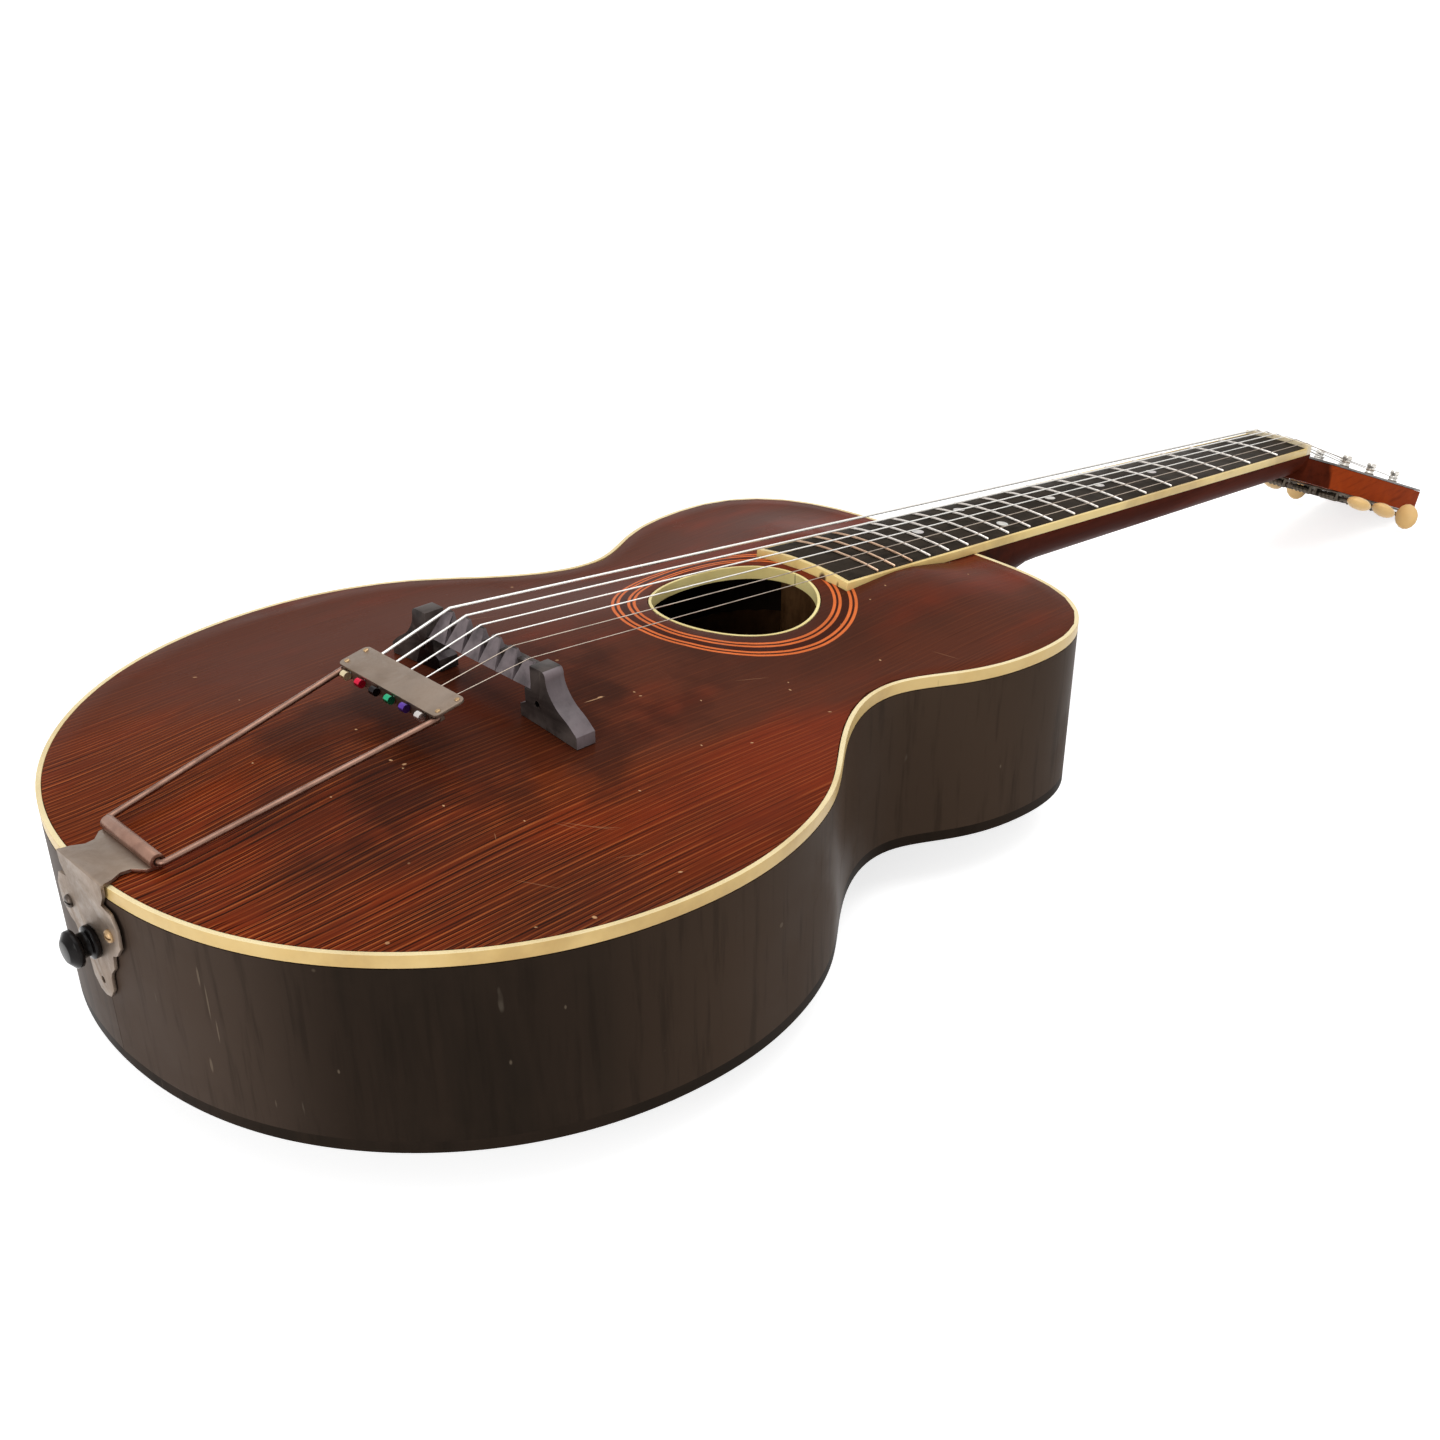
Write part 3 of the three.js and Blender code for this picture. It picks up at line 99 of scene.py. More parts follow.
class GuitarFinishes(bpy.types.PropertyGroup):
    """Colours of the woods, trims and metals."""

    top_stain: FloatVectorProperty(
        name="Top stain", description="Main brown of the stained spruce top",
        subtype="COLOR", size=3, min=0, max=1, default=stain(108, 46, 20))
    # Painted sheen: the greyer brown laid on the far and upper part of the top, where the grain
    # fades
    top_sheen_brown: FloatVectorProperty(
        name="Top dull stain", description="Greyer brown of the top where the grain hardly shows",
        subtype="COLOR", size=3, min=0, max=1, default=stain(92, 48, 33))
    top_light: FloatVectorProperty(
        name="Top light grain", description="Orange brown of the spruce's soft early wood",
        subtype="COLOR", size=3, min=0, max=1, default=stain(176, 94, 48))
    top_dark: FloatVectorProperty(
        name="Top dark grain", description="Dark lines of the spruce's late wood",
        subtype="COLOR", size=3, min=0, max=1, default=stain(36, 15, 8))
    top_glow: FloatVectorProperty(
        name="Top glow", description="Orange red that shows where the stain has worn thin",
        subtype="COLOR", size=3, min=0, max=1, default=stain(142, 50, 22))
    rosette: FloatVectorProperty(
        name="Rosette rings", description="Orange of the thin rings round the soundhole",
        subtype="COLOR", size=3, min=0, max=1, default=stain(240, 124, 66))
    side_stain: FloatVectorProperty(
        name="Side stain", description="Near-black brown of the sides and the back",
        subtype="COLOR", size=3, min=0, max=1, default=stain(36, 29, 23))
    side_glow: FloatVectorProperty(
        name="Side glow", description="Lighter brown figure in the sides and the back",
        subtype="COLOR", size=3, min=0, max=1, default=stain(46, 36, 29))
    neck_stain: FloatVectorProperty(
        name="Neck stain", description="Red brown of the neck",
        subtype="COLOR", size=3, min=0, max=1, default=stain(70, 27, 16))
    # The head's sides are laid brighter orange, partly their own wood and partly painted light
    # where they face the lamps
    head_tone_and_light: FloatVectorProperty(
        name="Head stain", description="Bright orange brown of the head's sides",
        subtype="COLOR", size=3, min=0, max=1, default=stain(176, 72, 30))
    cream: FloatVectorProperty(
        name="Cream trim", description="Aged cream of the bindings",
        subtype="COLOR", size=3, min=0, max=1, default=stain(255, 236, 186))
    ebony: FloatVectorProperty(
        name="Ebony", description="Black brown of the fretboard",
        subtype="COLOR", size=3, min=0, max=1, default=stain(40, 35, 29))
    nickel: FloatVectorProperty(
        name="Worn nickel", description="Tarnished nickel of the tailpiece",
        subtype="COLOR", size=3, min=0, max=1, default=stain(138, 123, 110))
    ivory: FloatVectorProperty(
        name="Buttons", description="Ivory colour of the tuning buttons",
        subtype="COLOR", size=3, min=0, max=1, default=stain(255, 214, 148))


class GuitarSizes(bpy.types.PropertyGroup):
    """Sizes of the small pieces that are added to the frame."""

    edge_softness: FloatProperty(
        name="Edge softness", description="Width of the rounding along the wooden edges",
        unit="LENGTH", min=0, default=0.35 * MM)
    dot_width: FloatProperty(
        name="Position dot", description="Width of a pearl position dot",
        unit="LENGTH", min=0, default=6.2 * MM)
    dot_spread: FloatProperty(
        name="Octave dots", description="Distance between the two dots at the twelfth fret",
        unit="LENGTH", min=0, default=29 * MM)
    bracket_screw: FloatProperty(
        name="Bracket screw head", description="Width of a bracket screw's head",
        unit="LENGTH", min=0, default=5.2 * MM)
    plate_screw: FloatProperty(
        name="Machine screw head", description="Width of a screw head on the machine plates",
        unit="LENGTH", min=0, default=3.4 * MM)
    rivet_width: FloatProperty(
        name="Rivet", description="Width of a rivet on the string holder",
        unit="LENGTH", min=0, default=2.3 * MM)
    thread_pitch: FloatProperty(
        name="Worm pitch", description="Distance between two turns of a tuner's worm thread",
        unit="LENGTH", min=0, default=2.9 * MM)
    string_turns: IntProperty(
        name="String turns", description="Turns of a string round its post", min=1, default=2)


class StageSettings(bpy.types.PropertyGroup):
    """Strengths of the studio's soft lamps."""

    key_strength: FloatProperty(
        name="Key lamp", description="Power of the broad lamp over the guitar", min=0, default=15.0)
    side_strength: FloatProperty(
        name="Side lamp", description="Power of the lamp beside the tail", min=0, default=13.0)
    room_strength: FloatProperty(
        name="Room light", description="Strength of the room's even light", min=0, default=0.42)


# Tools that every piece is made with


def clear_selection():
    if bpy.context.object is not None and bpy.context.object.mode != "OBJECT":
        bpy.ops.object.mode_set(mode="OBJECT")
    bpy.ops.object.select_all(action="DESELECT")


def pick(*pieces):
    """Select these pieces alone, the first one active."""
    clear_selection()
    for piece in pieces:
        piece.select_set(True)
    bpy.context.view_layer.objects.active = pieces[0]


def choose(piece, kind, wanted):
    """Go into edit mode with those vertices, edges or faces selected that pass the test."""
    pick(piece)
    bpy.ops.object.mode_set(mode="EDIT")
    bpy.ops.mesh.select_mode(type=kind)
    bpy.ops.mesh.select_all(action="DESELECT")
    bpy.ops.object.mode_set(mode="OBJECT")
    mesh = piece.data
    parts = {"VERT": mesh.vertices, "EDGE": mesh.edges, "FACE": mesh.polygons}[kind]
    for part in parts:
        part.select = wanted(mesh, part)
    bpy.ops.object.mode_set(mode="EDIT")


def done():
    bpy.ops.object.mode_set(mode="OBJECT")


def ends(mesh, edge):
    return [mesh.vertices[corner].co for corner in edge.vertices]


def finish_modifier(piece, kind, **settings):
    """Give the piece a modifier with these settings and apply it."""
    pick(piece)
    modifier = piece.modifiers.new(kind.title(), kind)
    for setting, value in settings.items():
        setattr(modifier, setting, value)
    bpy.ops.object.modifier_apply(modifier=modifier.name)


def soften(piece, width, degrees):
    """Round every edge that turns by more than this angle."""
    finish_modifier(piece, "BEVEL", width=width, segments=2, limit_method="ANGLE",
                    angle_limit=math.radians(degrees), use_clamp_overlap=True)


def settle(piece):
    """Leave the object at the origin, unturned and unscaled, with its place in its mesh."""
    pick(piece)
    bpy.ops.object.transform_apply(location=True, rotation=True, scale=True)


def smooth(piece, degrees):
    pick(piece)
    bpy.ops.object.shade_smooth_by_angle(angle=math.radians(degrees))


def coat(piece, material):
    """Give the piece one finish, by its name."""
    piece.data.materials.clear()
    piece.data.materials.append(finish(material))


def recoat(piece, material, wanted):
    """Give a further finish to the faces that pass the test."""
    piece.data.materials.append(finish(material))
    for face in piece.data.polygons:
        if wanted(face):
            face.material_index = len(piece.data.materials) - 1


def spread(model, places):
    """Copy a piece that stands upright at the origin to each named place, turned to its axis."""
    pieces = []
    for name, (spot, axis) in places.items():
        piece = model.copy()
        piece.data = model.data.copy()
        piece.name = name
        bpy.context.scene.collection.objects.link(piece)
        turned = Vector(axis).to_track_quat("Z", "Y").to_matrix().to_4x4()
        piece.matrix_world = Matrix.Translation(Vector(spot)) @ turned
        settle(piece)
        pieces.append(piece)
    bpy.data.objects.remove(model)
    return pieces


def carry(piece, material, body):
    """Coat the piece and let it ride on a body."""
    coat(piece, material)
    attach(piece, body)


def rest_on(node, spot, way):
    """Where a line from the spot meets a frame node's surface, and that surface's direction."""
    mesh = frame["nodes"][node].data
    skin = BVHTree.FromPolygons([corner.co for corner in mesh.vertices],
                                [face.vertices for face in mesh.polygons])
    seat, facing = skin.ray_cast(Vector(spot), Vector(way))[:2]
    if seat is None:
        raise RuntimeError(f"nothing of {node} lies under the spot {tuple(spot)}")
    return seat, facing


def merge_doubles(piece, gap):
    """Go into edit mode with everything selected, and merge corners that lie this close."""
    pick(piece)
    bpy.ops.object.mode_set(mode="EDIT")
    bpy.ops.mesh.select_all(action="SELECT")
    bpy.ops.mesh.remove_doubles(threshold=gap)


def merged_copy(node, quads=False):
    """A copy of a frame node's mesh with its loose triangles merged into one skin."""
    clear_selection()
    source = frame["nodes"][node]
    piece = bpy.data.objects.new(node + "_finish", source.data.copy())
    bpy.context.scene.collection.objects.link(piece)
    merge_doubles(piece, 0.004 * MM)
    if quads:
        bpy.ops.mesh.tris_convert_to_quads(face_threshold=math.radians(20),
                                           shape_threshold=math.radians(60))
    else:
        bpy.ops.mesh.dissolve_limited(angle_limit=math.radians(0.2))
    done()
    return piece


def hold_corners(piece, degrees):
    """Crease the edges that turn by more than this angle, so that subdivision keeps them."""
    pick(piece)
    bpy.ops.object.mode_set(mode="EDIT")
    bpy.ops.mesh.select_mode(type="EDGE")
    bpy.ops.mesh.select_all(action="DESELECT")
    bpy.ops.mesh.edges_select_sharp(sharpness=math.radians(degrees))
    done()
    creases = piece.data.attributes.new("crease_edge", "FLOAT", "EDGE")
    for edge in piece.data.edges:
        creases.data[edge.index].value = 1.0 if edge.select else 0.0


def stand_in(piece, node, material, turn=30.0, rides=True):
    """Smooth and coat a finished copy and let it stand for its frame node."""
    smooth(piece, turn)
    coat(piece, material)
    if rides:
        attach(piece, BODY_OF[node])
    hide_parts(node)
    return piece


def dress(node, material, edge=0.0, turn=30.0):
    """Finish a frame node: soften its edges, smooth it and coat it."""
    piece = merged_copy(node)
    if edge:
        soften(piece, edge, turn)
    return stand_in(piece, node, material, turn)


def dress_round(node, material, edge=0.0, levels=2):
    """Finish a frame node that is bent from a strip, with its facets rounded out."""
    piece = merged_copy(node, quads=True)
    if edge:
        soften(piece, edge, 45)
    hold_corners(piece, 32)
    finish_modifier(piece, "SUBSURF", levels=levels, render_levels=levels)
    return stand_in(piece, node, material)


# Tools that every finish is mixed with


def put(tree, kind, feeds=None, **settings):
    """Add a shader node, set it, and feed its sockets from values or from other sockets."""
    made = tree.nodes.new(kind)
    for setting, value in settings.items():
        setattr(made, setting, value)
    for socket, value in (feeds or {}).items():
        if isinstance(value, bpy.types.NodeSocket):
            tree.links.new(value, made.inputs[socket])
        else:
            made.inputs[socket].default_value = value
    return made


def place(tree, scale=(1, 1, 1), move=(0, 0, 0)):
    """Object coordinates, moved and stretched for one pattern."""
    where = put(tree, "ShaderNodeTexCoord").outputs["Object"]
    return put(tree, "ShaderNodeMapping", {
        "Vector": where, "Location": move, "Scale": scale}).outputs["Vector"]


def split(tree, vector):
    return put(tree, "ShaderNodeSeparateXYZ", {"Vector": vector}).outputs


def reach(tree, vector):
    """How far a point lies from the pattern's middle."""
    return put(tree, "ShaderNodeVectorMath", {0: vector}, operation="LENGTH").outputs["Value"]


def cloud(tree, vector, scale, detail=3.0, rough=0.55, distort=0.0):
    return put(tree, "ShaderNodeTexNoise", {
        "Vector": vector, "Scale": scale, "Detail": detail, "Roughness": rough,
        "Distortion": distort}).outputs["Fac"]


def band(tree, value, low, high, out_low=0.0, out_high=1.0):
    """The value spread smoothly from low and high to the two outcomes."""
    return put(tree, "ShaderNodeMapRange", {
        "Value": value, "From Min": low, "From Max": high, "To Min": out_low, "To Max": out_high,
    }, interpolation_type="SMOOTHSTEP").outputs["Result"]


def sums(tree, kind, first, second=0.0):
    return put(tree, "ShaderNodeMath", {0: first, 1: second}, operation=kind).outputs[0]


def times(tree, first, second):
    return sums(tree, "MULTIPLY", first, second)


def plus(tree, first, second):
    return sums(tree, "ADD", first, second)


def lay(tree, under, colour, mask, amount=None):
    """Lay a colour over what is under it where the mask is, or by a share of the mask."""
    if amount is not None:
        mask = times(tree, mask, amount)
    pair = [tone if isinstance(tone, bpy.types.NodeSocket) else full(tone)
            for tone in (under, colour)]
    return put(tree, "ShaderNodeMix", {"Factor": mask, 6: pair[0], 7: pair[1]},
               data_type="RGBA", blend_type="MIX").outputs[2]


def mark(tree, spot, length, width, angle, depth):
    """A mask of one small mark or scratch at a place on the object."""
    where = put(tree, "ShaderNodeTexCoord").outputs["Object"]
    local = put(tree, "ShaderNodeMapping", {
        "Vector": where, "Location": spot, "Rotation": (0, 0, math.radians(angle)),
        "Scale": (length / 2, width / 2, depth or max(length, width)),
    }, vector_type="TEXTURE").outputs["Vector"]
    return band(tree, reach(tree, local), 0.45, 1.0, 1.0, 0.0)


def marks(tree, places, depth=0.0):
    """One mask of several marks; with a depth, they reach that far up and down."""
    mask = 0.0
    for spot, length, width, angle in places:
        middle = tuple(part * MM for part in spot)
        one = mark(tree, middle, length * MM, width * MM, angle, depth)
        mask = sums(tree, "MAXIMUM", one, mask)
    return mask


def new_group(name, inputs, outputs):
    """A shader node group with named number sockets, and its two end nodes."""
    tree = bpy.data.node_groups.new(name, "ShaderNodeTree")
    for socket, value in inputs.items():
        given = tree.interface.new_socket(
            name=socket, in_out="INPUT", socket_type="NodeSocketFloat")
        given.default_value = value
    for socket in outputs:
        tree.interface.new_socket(name=socket, in_out="OUTPUT", socket_type="NodeSocketFloat")
    return tree, tree.nodes.new("NodeGroupInput"), tree.nodes.new("NodeGroupOutput")


def use_group(tree, name, **values):
    made = put(tree, "ShaderNodeGroup", node_tree=bpy.data.node_groups[name])
    for socket, value in values.items():
        made.inputs[socket.capitalize()].default_value = value
    return made.outputs


def make_wear_group():
    """Masks of handling that every finish shares: grime, scuffs, fine scratches and dings."""
    tree, given, result = new_group(
        "handling wear", {"Size": 1.0}, ("Grime", "Scuffs", "Scratches", "Dings"))
    where = put(tree, "ShaderNodeTexCoord").outputs["Object"]
    sized = put(tree, "ShaderNodeVectorMath", {0: where}, operation="SCALE")
    tree.links.new(given.outputs["Size"], sized.inputs["Scale"])
    vector = sized.outputs["Vector"]
    slanted = put(tree, "ShaderNodeMapping", {
        "Vector": vector, "Rotation": (0.3, 0.4, 0.9), "Scale": (420, 26, 60)}).outputs["Vector"]
    spots = put(tree, "ShaderNodeTexVoronoi", {
        "Vector": vector, "Scale": 62.0, "Randomness": 1.0}, feature="F1")
    near = band(tree, spots.outputs["Distance"], 0.035, 0.065, 1.0, 0.0)
    chance = put(tree, "ShaderNodeSeparateColor", {"Color": spots.outputs["Color"]}).outputs["Red"]
    masks = {
        "Grime": band(tree, cloud(tree, vector, 14.0, 5.0, 0.6), 0.42, 0.68),
        "Scuffs": band(tree, cloud(tree, vector, 55.0, 6.0, 0.7, 0.6), 0.60, 0.74),
        "Scratches": band(tree, cloud(tree, slanted, 1.0, 2.0, 0.5), 0.74, 0.80),
        "Dings": times(tree, near, band(tree, chance, 0.88, 0.90)),
    }
    for socket, mask in masks.items():
        tree.links.new(mask, result.inputs[socket])


def make_edge_group():
    """A mask of edges that hands and cloths have rubbed."""
    tree, given, result = new_group("rubbed edges", {"Sharpness": 1.0}, ("Edges",))
    bent = put(tree, "ShaderNodeNewGeometry").outputs["Pointiness"]
    broken = cloud(tree, place(tree), 90.0, 4.0)
    worn = times(tree, band(tree, bent, 0.51, 0.56), band(tree, broken, 0.35, 0.6))
    tree.links.new(times(tree, worn, given.outputs["Sharpness"]), result.inputs["Edges"])


def start_finish(name):
    """The tree and the principled shader of a new material."""
    material = bpy.data.materials.new(name)
    material.use_nodes = True
    tree = material.node_tree
    return tree, tree.nodes["Principled BSDF"]


def set_gloss(shader, metallic=0.0, shine=0.5):
    shader.inputs["Metallic"].default_value = metallic
    shader.inputs["Specular IOR Level"].default_value = shine


def raise_surface(tree, shader, height, depth):
    bump = put(tree, "ShaderNodeBump", {"Strength": 1.0, "Distance": depth, "Height": height})
    tree.links.new(bump.outputs["Normal"], shader.inputs["Normal"])


def feed(tree, value, shader, socket):
    tree.links.new(value, shader.inputs[socket])


# Woods, trims and metals


# A mark is its place, its length and width in millimetres, and its angle in degrees
TOP_DEPTH = 20 * MM
TOP_MARKS = (
    ((148, -94, 110), 2.6, 1.8, 10), ((29, -88, 119), 2.4, 1.5, 80), ((31, -90, 119), 1.2, 1.0, 0),
    ((-7, -86, 120), 1.6, 1.2, 0), ((139, -112, 110), 1.6, 0.8, 40),
    ((147, -54, 110), 2.2, 1.2, 60), ((61, -93, 117), 1.5, 1.1, 0), ((28, -120, 117), 1.3, 1.0, 0),
    ((36, 0, 119), 12.0, 0.7, 84), ((36, 3, 119), 3.4, 1.6, 84), ((98, -30, 113), 1.6, 0.9, 20),
    ((-58, -59, 117), 2.2, 1.0, 70), ((80, 125, 110), 1.6, 1.2, 0), ((62, 35, 115), 1.2, 0.9, 0),
    ((-16, -127, 117), 1.4, 0.9, 0), ((41, 17, 117), 1.4, 1.0, 30), ((45, 17, 116), 1.6, 0.9, 60),
    ((75, 74, 110), 1.8, 1.1, 0), ((70, 78, 110), 1.0, 1.0, 0), ((98, 29, 110), 1.8, 1.0, 70),
    ((88, 11, 112), 1.4, 0.9, 0), ((98, 74, 108), 2.2, 0.8, 50), ((42, 160, 115), 1.2, 1.0, 0),
    ((37, 176, 116), 1.5, 1.0, 0), ((47, 225, 110), 1.2, 0.9, 0), ((49, 133, 113), 1.2, 0.8, 0),
    ((-112, -100, 110), 2.6, 1.0, 40), ((23, -90, 118), 2.2, 1.4, 20),
    ((87, -76, 113), 1.3, 0.8, 0), ((-72, -101, 114), 1.2, 0.8, 0),
)
TOP_SCRATCHES = (
    ((104, -60, 113), 26.0, 0.5, 38), ((108, -56, 113), 18.0, 0.4, 46),
    ((99, -66, 113), 14.0, 0.4, 30), ((120, -96, 111), 22.0, 0.4, 32),
    ((88, -90, 114), 5.0, 0.5, -30), ((60, 66, 114), 20.0, 0.4, 70),
    ((-70, 20, 114), 24.0, 0.4, 60), ((96, 150, 110), 16.0, 0.4, 15),
    ((128, -60, 111), 16.0, 0.4, 64),
)
SIDE_MARKS = (
    ((58, -195.5, 88), 1.2, 5.0, 0), ((60, -195, 78), 0.9, 9.0, 0), ((56, -196, 49), 1.6, 4.0, 0),
    ((102, -172, 59), 1.3, 1.3, 0), ((141, -128, 61), 1.5, 1.5, 0), ((120, 165, 56), 1.5, 1.5, 0),
    ((62, -194, 66), 0.8, 6.0, 0), ((150, -110, 80), 1.2, 1.2, 0), ((80, -187, 40), 1.0, 3.0, 0),
)
HOLE_NICKS = (((1.8, 151.7, 114), 0.7, 6.0, 0),)
BOARD_NICKS = (
    ((24, 158, 117), 3.0, 1.6, 20), ((28, 166, 116), 1.6, 5.0, 0), ((14, 157.5, 118), 6.0, 0.8, 0),
)

# Annual lines of two widths in millimetres, and each one's share of the pattern
YEAR_WIDTHS = ((2.7, 0.58), (1.2, 0.42))

# The rosette: how far its rings lie from the soundhole's middle, and a ring's half width
SOUNDHOLE_Y = 113.6 * MM
RING_RADII = (46.1 * MM, 48.6 * MM, 53.5 * MM, 56.0 * MM)
RING_HALF = (0.52 * MM, 0.86 * MM)
INLAY_START = (45.4 * MM, 45.8 * MM)
INLAY_END = (56.4 * MM, 56.8 * MM)

# Tones along the wood: where along Y each starts, where it is full, and its colour. On the sides
# they are painted light, lighter where the sides are lit more; at the heel painted shade; on the
# head partly painted light
SIDE_PAINTED_LIGHT = ((-0.168, -0.204, stain(82, 68, 59)), (-0.13, -0.02, stain(74, 59, 48)))
HEEL_PAINTED_SHADE = (0.330, 0.250, stain(40, 28, 24))
HEAD_START = (0.611, 0.6145)

# Fine lines of the metals: how closely they are brushed, and one turn of a string's winding
FRET_BRUSH = (60, 300, 60)
STRING_BRUSH = (40, 900, 40)
WIRE_PITCH = 0.55 * MM

# The ball ends, by the string's number
BALL_COLOURS = {
    6: (226, 206, 168), 5: (206, 28, 62), 4: (34, 30, 32),
    3: (40, 150, 108), 2: (96, 62, 160), 1: (186, 180, 176),
}

# Dirt, scratches and bare spots that handling leaves; the top's smoke is laid stronger by the
# holder as painted shadow, and its darkest patch there is the holder's painted shadow
TOP_SMOKE_AND_SHADOW = stain(50, 34, 28)
TOP_HOLDER_SHADOW = stain(44, 25, 19)
TOP_HAIRLINE = stain(150, 98, 66)
TOP_SCRATCH = stain(170, 122, 88)
TOP_DENT = stain(214, 168, 124)
INLAY_GROUND = stain(58, 22, 14)
WOOD_SCRATCH = stain(150, 138, 122)
WOOD_DENT = stain(168, 150, 128)
TRIM_GRIME = stain(140, 96, 52)
TRIM_SPECK = stain(96, 66, 40)
TRIM_NICK = stain(84, 56, 34)
TRIM_SCRATCH = stain(130, 96, 58)


def spruce_lines(tree, across):
    """The spruce's annual lines, from their dark late wood to their light early wood."""
    drift = cloud(tree, place(tree, (5, 1.3, 0.01)), 1.0, 2.0)
    uneven = cloud(tree, place(tree, (60, 0.7, 0.01), (0.4, 0, 0)), 1.0, 1.0)
    ragged = cloud(tree, place(tree, (500, 14, 9)), 1.0, 3.0, 0.6)
    broken = cloud(tree, place(tree, (300, 24, 9), (0, 0.7, 0)), 1.0, 3.0, 0.6)
    lines = 0.0
    for width, share in YEAR_WIDTHS:
        phase = times(tree, across["X"], 2 * math.pi / (width * MM))
        for wander, amount in ((drift, 48.0 / width), (uneven, 64.0 / width), (ragged, 2.8)):
            phase = plus(tree, phase, times(tree, wander, amount))
        wave = band(tree, sums(tree, "SINE", phase), -0.7, 0.9, -0.5, 0.5)
        lines = plus(tree, times(tree, wave, share), lines)
    return plus(tree, times(tree, lines, band(tree, broken, 0.36, 0.6, 0.25, 1.0)), 0.5)


def rosette_rings(tree, radius):
    """The four thin rings round the soundhole."""
    rings = 0.0
    for middle in RING_RADII:
        off = sums(tree, "ABSOLUTE", sums(tree, "SUBTRACT", radius, middle))
        rings = sums(tree, "MAXIMUM", band(tree, off, *RING_HALF, 1.0, 0.0), rings)
    return rings


def spruce_finish():
    """Stained spruce: annual lines, a painted sheen on the far part, worn orange glow, smoky
    patches, the holder's painted shadow, marks and rosette rings.
    """
    colours = bpy.context.scene.guitar_finishes
    tree, shader = start_finish("stained spruce")
    across = split(tree, place(tree))
    lines = spruce_lines(tree, across)
    # Painted sheen: towards the far and upper part the top turns to a greyer brown and its grain
    # fades; random patches vary it
    slant = sums(tree, "SUBTRACT", across["X"], across["Y"])
    side = band(tree, slant, -0.08, 0.16, 0.2, 1.0)
    rear = band(tree, across["Y"], -0.13, 0.04, 1.0, 0.42)
    patches = cloud(tree, place(tree, (9, 4, 3)), 1.0, 4.0, 0.6)
    patchy = band(tree, patches, 0.34, 0.62, 0.35, 1.0)
    strength = times(tree, times(tree, side, rear), patchy)
    shade = lay(tree, colours.top_sheen_brown, colours.top_stain, band(tree, strength, 0.05, 0.6))
    thin = cloud(tree, place(tree, (13, 4.5, 5), (0.3, 0.1, 0)), 1.0, 4.0, 0.62)
    shade = lay(tree, shade, colours.top_glow, band(tree, thin, 0.44, 0.66), 0.55)
    early = band(tree, lines, 0.5, 0.95, 0.0, 0.95)
    shade = lay(tree, shade, colours.top_light, strength, early)
    late = band(tree, lines, 0.05, 0.55, 0.95, 0.0)
    shade = lay(tree, shade, colours.top_dark, strength, late)
    fibre = cloud(tree, place(tree, (1900, 26, 26)), 1.0, 3.0, 0.6)
    shade = lay(tree, shade, colours.top_dark, band(tree, fibre, 0.52, 0.74, 0.0, 0.32))

    # Smoky patches, laid stronger near the holder as its painted shadow
    smoke = cloud(tree, place(tree, (9, 6, 3), (0, 0.2, 0)), 1.0, 4.0, 0.55)
    from_holder = reach(tree, place(tree, (1, 0.8, 0), (-0.02, 0.04, 0)))
    middle = band(tree, from_holder, 0.03, 0.13, 0.95, 0.45)
    shade = lay(tree, shade, TOP_SMOKE_AND_SHADOW, band(tree, smoke, 0.50, 0.72), middle)
    # Painted shadow of the holder: a dark patch on the top round it
    uneven = band(tree, cloud(tree, place(tree), 26.0, 3.0), 0.3, 0.7, -0.03, 0.03)
    holder_shadow = band(tree, plus(tree, from_holder, uneven), 0.03, 0.085, 0.6, 0.0)
    shade = lay(tree, shade, TOP_HOLDER_SHADOW, holder_shadow)
    wear = use_group(tree, "handling wear", size=1.0)
    shade = lay(tree, shade, TOP_HAIRLINE, wear["Scratches"], 0.22)
    shade = lay(tree, shade, TOP_SCRATCH, marks(tree, TOP_SCRATCHES, TOP_DEPTH), 0.5)
    dented = sums(tree, "MAXIMUM", times(tree, wear["Dings"], 0.6),
                  marks(tree, TOP_MARKS, TOP_DEPTH))
    shade = lay(tree, shade, TOP_DENT, dented, 0.85)

    radius = reach(tree, place(tree, (1, 1, 0), (0, -SOUNDHOLE_Y, 0)))
    between = sums(tree, "MINIMUM", band(tree, radius, *INLAY_START),
                   band(tree, radius, *INLAY_END, 1.0, 0.0))
    shade = lay(tree, shade, INLAY_GROUND, between, 0.55)
    aged = band(tree, cloud(tree, place(tree), 60.0, 3.0), 0.3, 0.7, 0.78, 1.0)
    shade = lay(tree, shade, colours.rosette, rosette_rings(tree, radius), aged)
    feed(tree, shade, shader, "Base Color")
    rough = plus(tree, times(tree, wear["Scuffs"], 0.12),
                 band(tree, wear["Grime"], 0.0, 1.0, 0.22, 0.32))
    feed(tree, rough, shader, "Roughness")
    relief = sums(tree, "SUBTRACT", times(tree, lines, 0.5), times(tree, dented, 2.0))
    raise_surface(tree, shader, relief, 0.03 * MM)
    set_gloss(shader, shine=0.012)


